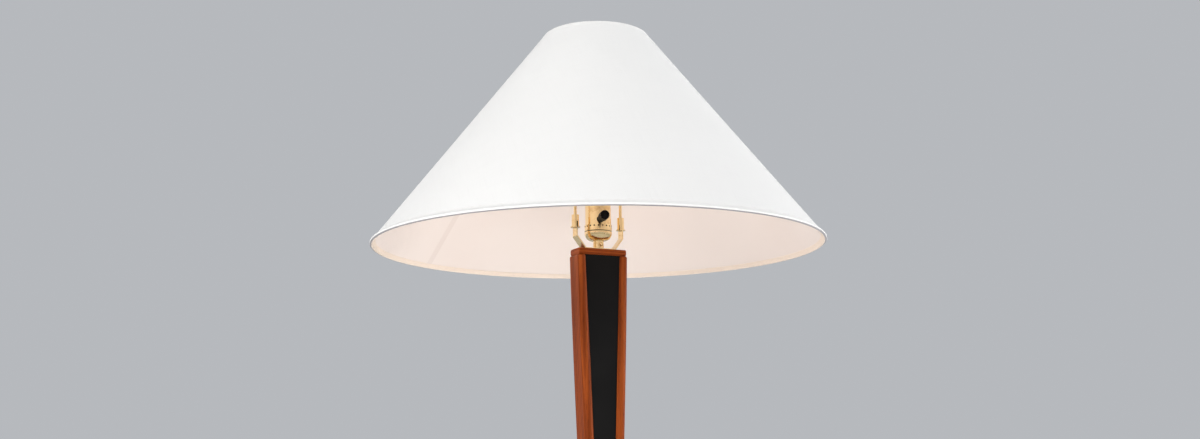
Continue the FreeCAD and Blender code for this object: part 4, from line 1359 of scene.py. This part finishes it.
    def outlines(self) -> tuple[list[tuple[float, float]], list[tuple[float, float]]]:
        """The strips' middle lines: from over the cover, round the wire, to the liner.

        Returns:
            The bottom strip's points and the top strip's, as section takes them.
        """
        lining = self.cover_t + self.gap + self.liner_t + self.tape_t / 2
        face = (self.foot - self.rim).dot(self.outward)
        lip = face - self.lip_sink
        bottom = [(lip + out, up) for out, up in self.bottom_lip]
        bottom += self.wrap(*self.bottom_wrap, self.bead_r - self.tape_t / 2)
        bottom += [(face - lining, up) for up in self.bottom_leg]
        face = (Vector((self.on_wall(self.crown.y, 0.0), self.crown.y)) - self.crown).dot(self.outward)
        lip = face - self.lip_sink
        top = [(lip, up) for up in self.top_lip]
        top += self.wrap(*self.top_wrap, lip)
        top += [self.top_neck, *((face - lining + out, up) for out, up in self.top_leg)]
        return bottom, top

    def rolls(self) -> None:
        """The cloth rolled round both rings, glued down inside on the liner."""
        bottom, top = self.outlines()
        recipe = hoop_recipe("rolled_edge", TAPE)
        for name, node, ring, local in (("bottom_rolled_edge", "shade_bottom_roll", self.rim, bottom),
                                        ("top_rolled_edge", "shade_top_roll", self.crown, top)):
            strip = recipe.make(name, {"Radius": ring.x, "Height": ring.y}, self.section(ring, local))
            with editing(strip.data) as work:
                bmesh.ops.recalc_face_normals(work, faces=work.faces)
            thickened(strip, self.tape_t, 0.0)
            tidy(strip.data, CLOTH_EDGE)
            self.mark_inside(strip.data, ring, local is bottom)
            self.place(strip, TAPE, "shade_roll", node)

    def mark_inside(self, mesh: bpy.types.Mesh, ring: Vector, hangs: bool) -> None:
        """Marks each point of a rolled edge for its finish, from 0 outside to 1 or more inside; the marks
        between, along the bottom bead's underside, get painted shade.

        Args:
            mesh: The rolled edge.
            ring: Its wire's radius and height.
            hangs: True for the bottom edge, which is marked by how far round the wire each point lies.
        """
        marks = mesh.attributes.new("inside", "FLOAT", "POINT")
        for point, mark in zip(mesh.vertices, marks.data):
            here = Vector((math.hypot(point.co.x, point.co.y), point.co.z)) - ring
            out, up = here.dot(self.outward), here.dot(self.slope)
            if hangs:
                turned = math.degrees(math.atan2(-up, out)) % 360.0
                mark.value = 0.0 if up > 0.0 and out > -self.near_middle else turned / self.wrap_degrees
            else:
                mark.value = 1.0 if out < -self.near_middle else 0.0

    def welds(self) -> None:
        """The weld beads that hold the spider's arms to the hub and the top ring."""
        arm_low, arm_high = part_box("spider_arm_1")
        first = math.atan2(arm_low.y + arm_high.y, arm_low.x + arm_high.x)
        hub_low, hub_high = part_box("spider_hub")
        recipe = bead_recipe("weld_beads", WHITE_ENAMEL)
        hub_r, hub_z = hub_high.x - self.weld_sink, (hub_low.z + hub_high.z) / 2
        ring_r, ring_z = self.crown.x - self.ring_wire_r, self.crown.y - self.weld_sink
        for name, radius, height in (("hub_welds", hub_r, hub_z), ("ring_welds", ring_r, ring_z)):
            beads = recipe.make(name, {"Radius": radius, "Height": height, "Bead": self.weld_r,
                                       "First Angle": first})
            self.place(beads, WHITE_ENAMEL, "white_steel")


class Finial(Assembly):
    """The brass ball finial."""

    def build(self) -> None:
        """Dresses the finial."""
        self.dress(BRASS, "finial")


def joined(thing: bpy.types.Object, extra: bpy.types.Mesh) -> None:
    """Adds a mesh to an object's own mesh."""
    with editing(thing.data) as work:
        work.from_mesh(extra)


def bored(mesh: bpy.types.Mesh, radius: float) -> None:
    """Turns an open sleeve into a tube.

    Args:
        mesh: A sleeve about Z, open at both ends.
        radius: The bore's radius.
    """
    with editing(mesh) as work:
        rims = [e for e in work.edges if len(e.link_faces) == 1]
        grown = bmesh.ops.extrude_edge_only(work, edges=rims)["geom"]
        for point in (g for g in grown if isinstance(g, bmesh.types.BMVert)):
            flat = Vector((point.co.x, point.co.y)).normalized() * radius
            point.co.x, point.co.y = flat
        inner = [e for e in work.edges if len(e.link_faces) == 1]
        bmesh.ops.bridge_loops(work, edges=inner)
    tidy(mesh, SOFT_EDGE)


# ---------------------------------------------------------------- stage
@dataclass(frozen=True)
class Lamp:
    """One soft rectangular lamp. Polished metal shows it only where mirrored is true."""

    name: str
    place: tuple[float, float, float]
    at: tuple[float, float, float]
    sides: tuple[float, float]
    power: float
    colour: RGB
    beam: float = 180.0
    mirrored: bool = True

    def hang(self) -> None:
        """Hangs the lamp."""
        data = bpy.data.lights.new(self.name, "AREA")
        data.shape, data.size, data.size_y = "RECTANGLE", *self.sides
        data.energy, data.color, data.spread = self.power, self.colour, math.radians(self.beam)
        lamp = new_object(self.name, data)
        lamp.visible_camera, lamp.visible_glossy = False, self.mirrored
        lamp.location = self.place
        lamp.rotation_euler = (Vector(self.at) - Vector(self.place)).to_track_quat("-Z", "Y").to_euler()


SUN_WHITE = (1.0, 0.985, 0.96)
SKY_WHITE = (0.97, 0.985, 1.0)


@dataclass
class Stage:
    """The camera at the photograph's angle, soft lamps, the pale floor and the backdrop."""

    azimuth: float = -26.0
    pitch: float = 10.49
    roll: float = 0.72
    sensor: float = 36.0
    lens: float = 36.33
    clip: tuple[float, float] = (0.01, 100.0)
    stand_off: float = 1.485
    eye_z: float = 1.0355
    aside: float = 0.0025
    backdrop: RGB = (0.47, 0.485, 0.51)
    floor: RGB = (0.66, 0.66, 0.655)
    floor_cloud: RGB = (0.60, 0.60, 0.60)
    floor_z: float = -0.2 * MM
    floor_reach: float = 30.0
    floor_fade: tuple[float, float] = (0.9, 3.2)
    ambient: float = 0.28
    lamps: tuple[Lamp, ...] = (
        Lamp("key", (-1.75, -2.6, 2.85), (0.0, 0.0, 1.3), (1.2, 1.2), 70.0, SUN_WHITE),
        Lamp("fill", (2.6, -1.7, 2.1), (0.0, 0.0, 1.3), (2.2, 2.2), 36.0, SKY_WHITE),
        Lamp("back", (0.8, 3.0, 2.5), (0.0, 0.0, 1.2), (2.4, 2.0), 40.0, SKY_WHITE),
        Lamp("low_left", (-2.0, -0.35, 0.45), (0.0, 0.0, 1.4), (2.4, 0.7), 8.8, SUN_WHITE, 80.0, False),
        Lamp("low_right", (2.0, -0.45, 0.45), (0.0, 0.0, 1.4), (2.4, 0.7), 9.8, SUN_WHITE, 80.0, False),
    )

    def build(self) -> None:
        """Sets the stage."""
        self.camera()
        self.world()
        self.lay_floor()
        for lamp in self.lamps:
            lamp.hang()

    def camera(self) -> None:
        """The camera, below the shade's rim and looking slightly up."""
        data = bpy.data.cameras.new("camera")
        data.sensor_width, data.lens = self.sensor, self.lens
        data.clip_start, data.clip_end = self.clip
        eye = new_object("camera", data)
        turn = math.radians(self.azimuth)
        across = Vector((math.cos(turn), math.sin(turn), 0.0))
        place = Vector((math.sin(turn), -math.cos(turn), 0.0)) * self.stand_off + across * self.aside
        place.z = self.eye_z
        eye.matrix_world = (Matrix.Translation(place) @ Matrix.Rotation(turn, 4, "Z")
                            @ Matrix.Rotation(math.radians(90.0 + self.pitch), 4, "X")
                            @ Matrix.Rotation(math.radians(-self.roll), 4, "Z"))
        bpy.context.scene.camera = eye

    def world(self) -> None:
        """An even sky: it lights softly, and the camera, metal and glass see the pale backdrop."""
        world = bpy.data.worlds.new("studio")
        world.use_nodes = True
        bench = Bench(world.node_tree)
        bench.tree.nodes.clear()
        white = (1.0, 1.0, 1.0)
        light = bench.add("ShaderNodeBackground", inputs={"Color": white, "Strength": self.ambient})
        view = bench.add("ShaderNodeBackground", inputs={"Color": self.backdrop, "Strength": 1.0})
        both = bench.add("ShaderNodeMixShader",
                         inputs={0: bench.seen(), 1: light.outputs[0], 2: view.outputs[0]})
        bench.add("ShaderNodeOutputWorld", inputs={0: both.outputs[0]})
        bpy.context.scene.world = world

    def lay_floor(self) -> None:
        """A wide plain floor, which fades into the backdrop."""
        mesh = bpy.data.meshes.new("floor")
        around = ((-1, -1), (1, -1), (1, 1), (-1, 1))
        mesh.from_pydata([(x * self.floor_reach, y * self.floor_reach, self.floor_z) for x, y in around],
                         [], [(0, 1, 2, 3)])
        s = Surface("pale_floor")
        cloud = s.noise(s.place, 3.0, 2.0)
        mesh.materials.append(s.fill({"Base Color": s.mix(cloud * 0.2, self.floor, self.floor_cloud),
                                      "Roughness": 0.8, "Specular IOR Level": 0.2}))
        x, y, _ = s.parts(s.place)
        fade = s.math("SQRT", x * x + y * y).step(*self.floor_fade) * s.seen()
        far = s.add("ShaderNodeEmission", inputs={"Color": self.backdrop, "Strength": 1.0}).outputs[0]
        both = s.add("ShaderNodeMixShader", inputs={0: fade, 1: s.shader.outputs[0], 2: far}).outputs[0]
        s.tree.links.new(both, s.output.inputs["Surface"])
        new_object("floor", mesh)


def main() -> None:
    """Builds the scene, one sub-assembly after another."""
    logging.basicConfig(level=logging.INFO, format="%(name)s %(message)s")
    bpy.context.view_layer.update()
    bpy.context.scene.view_settings.view_transform = "Standard"
    Stage().build()
    for part in (Plinth(), Column(), Socket(), Harp(), Bulb(), Shade(), Finial()):
        part.build()


if __name__ == "__main__":
    main()
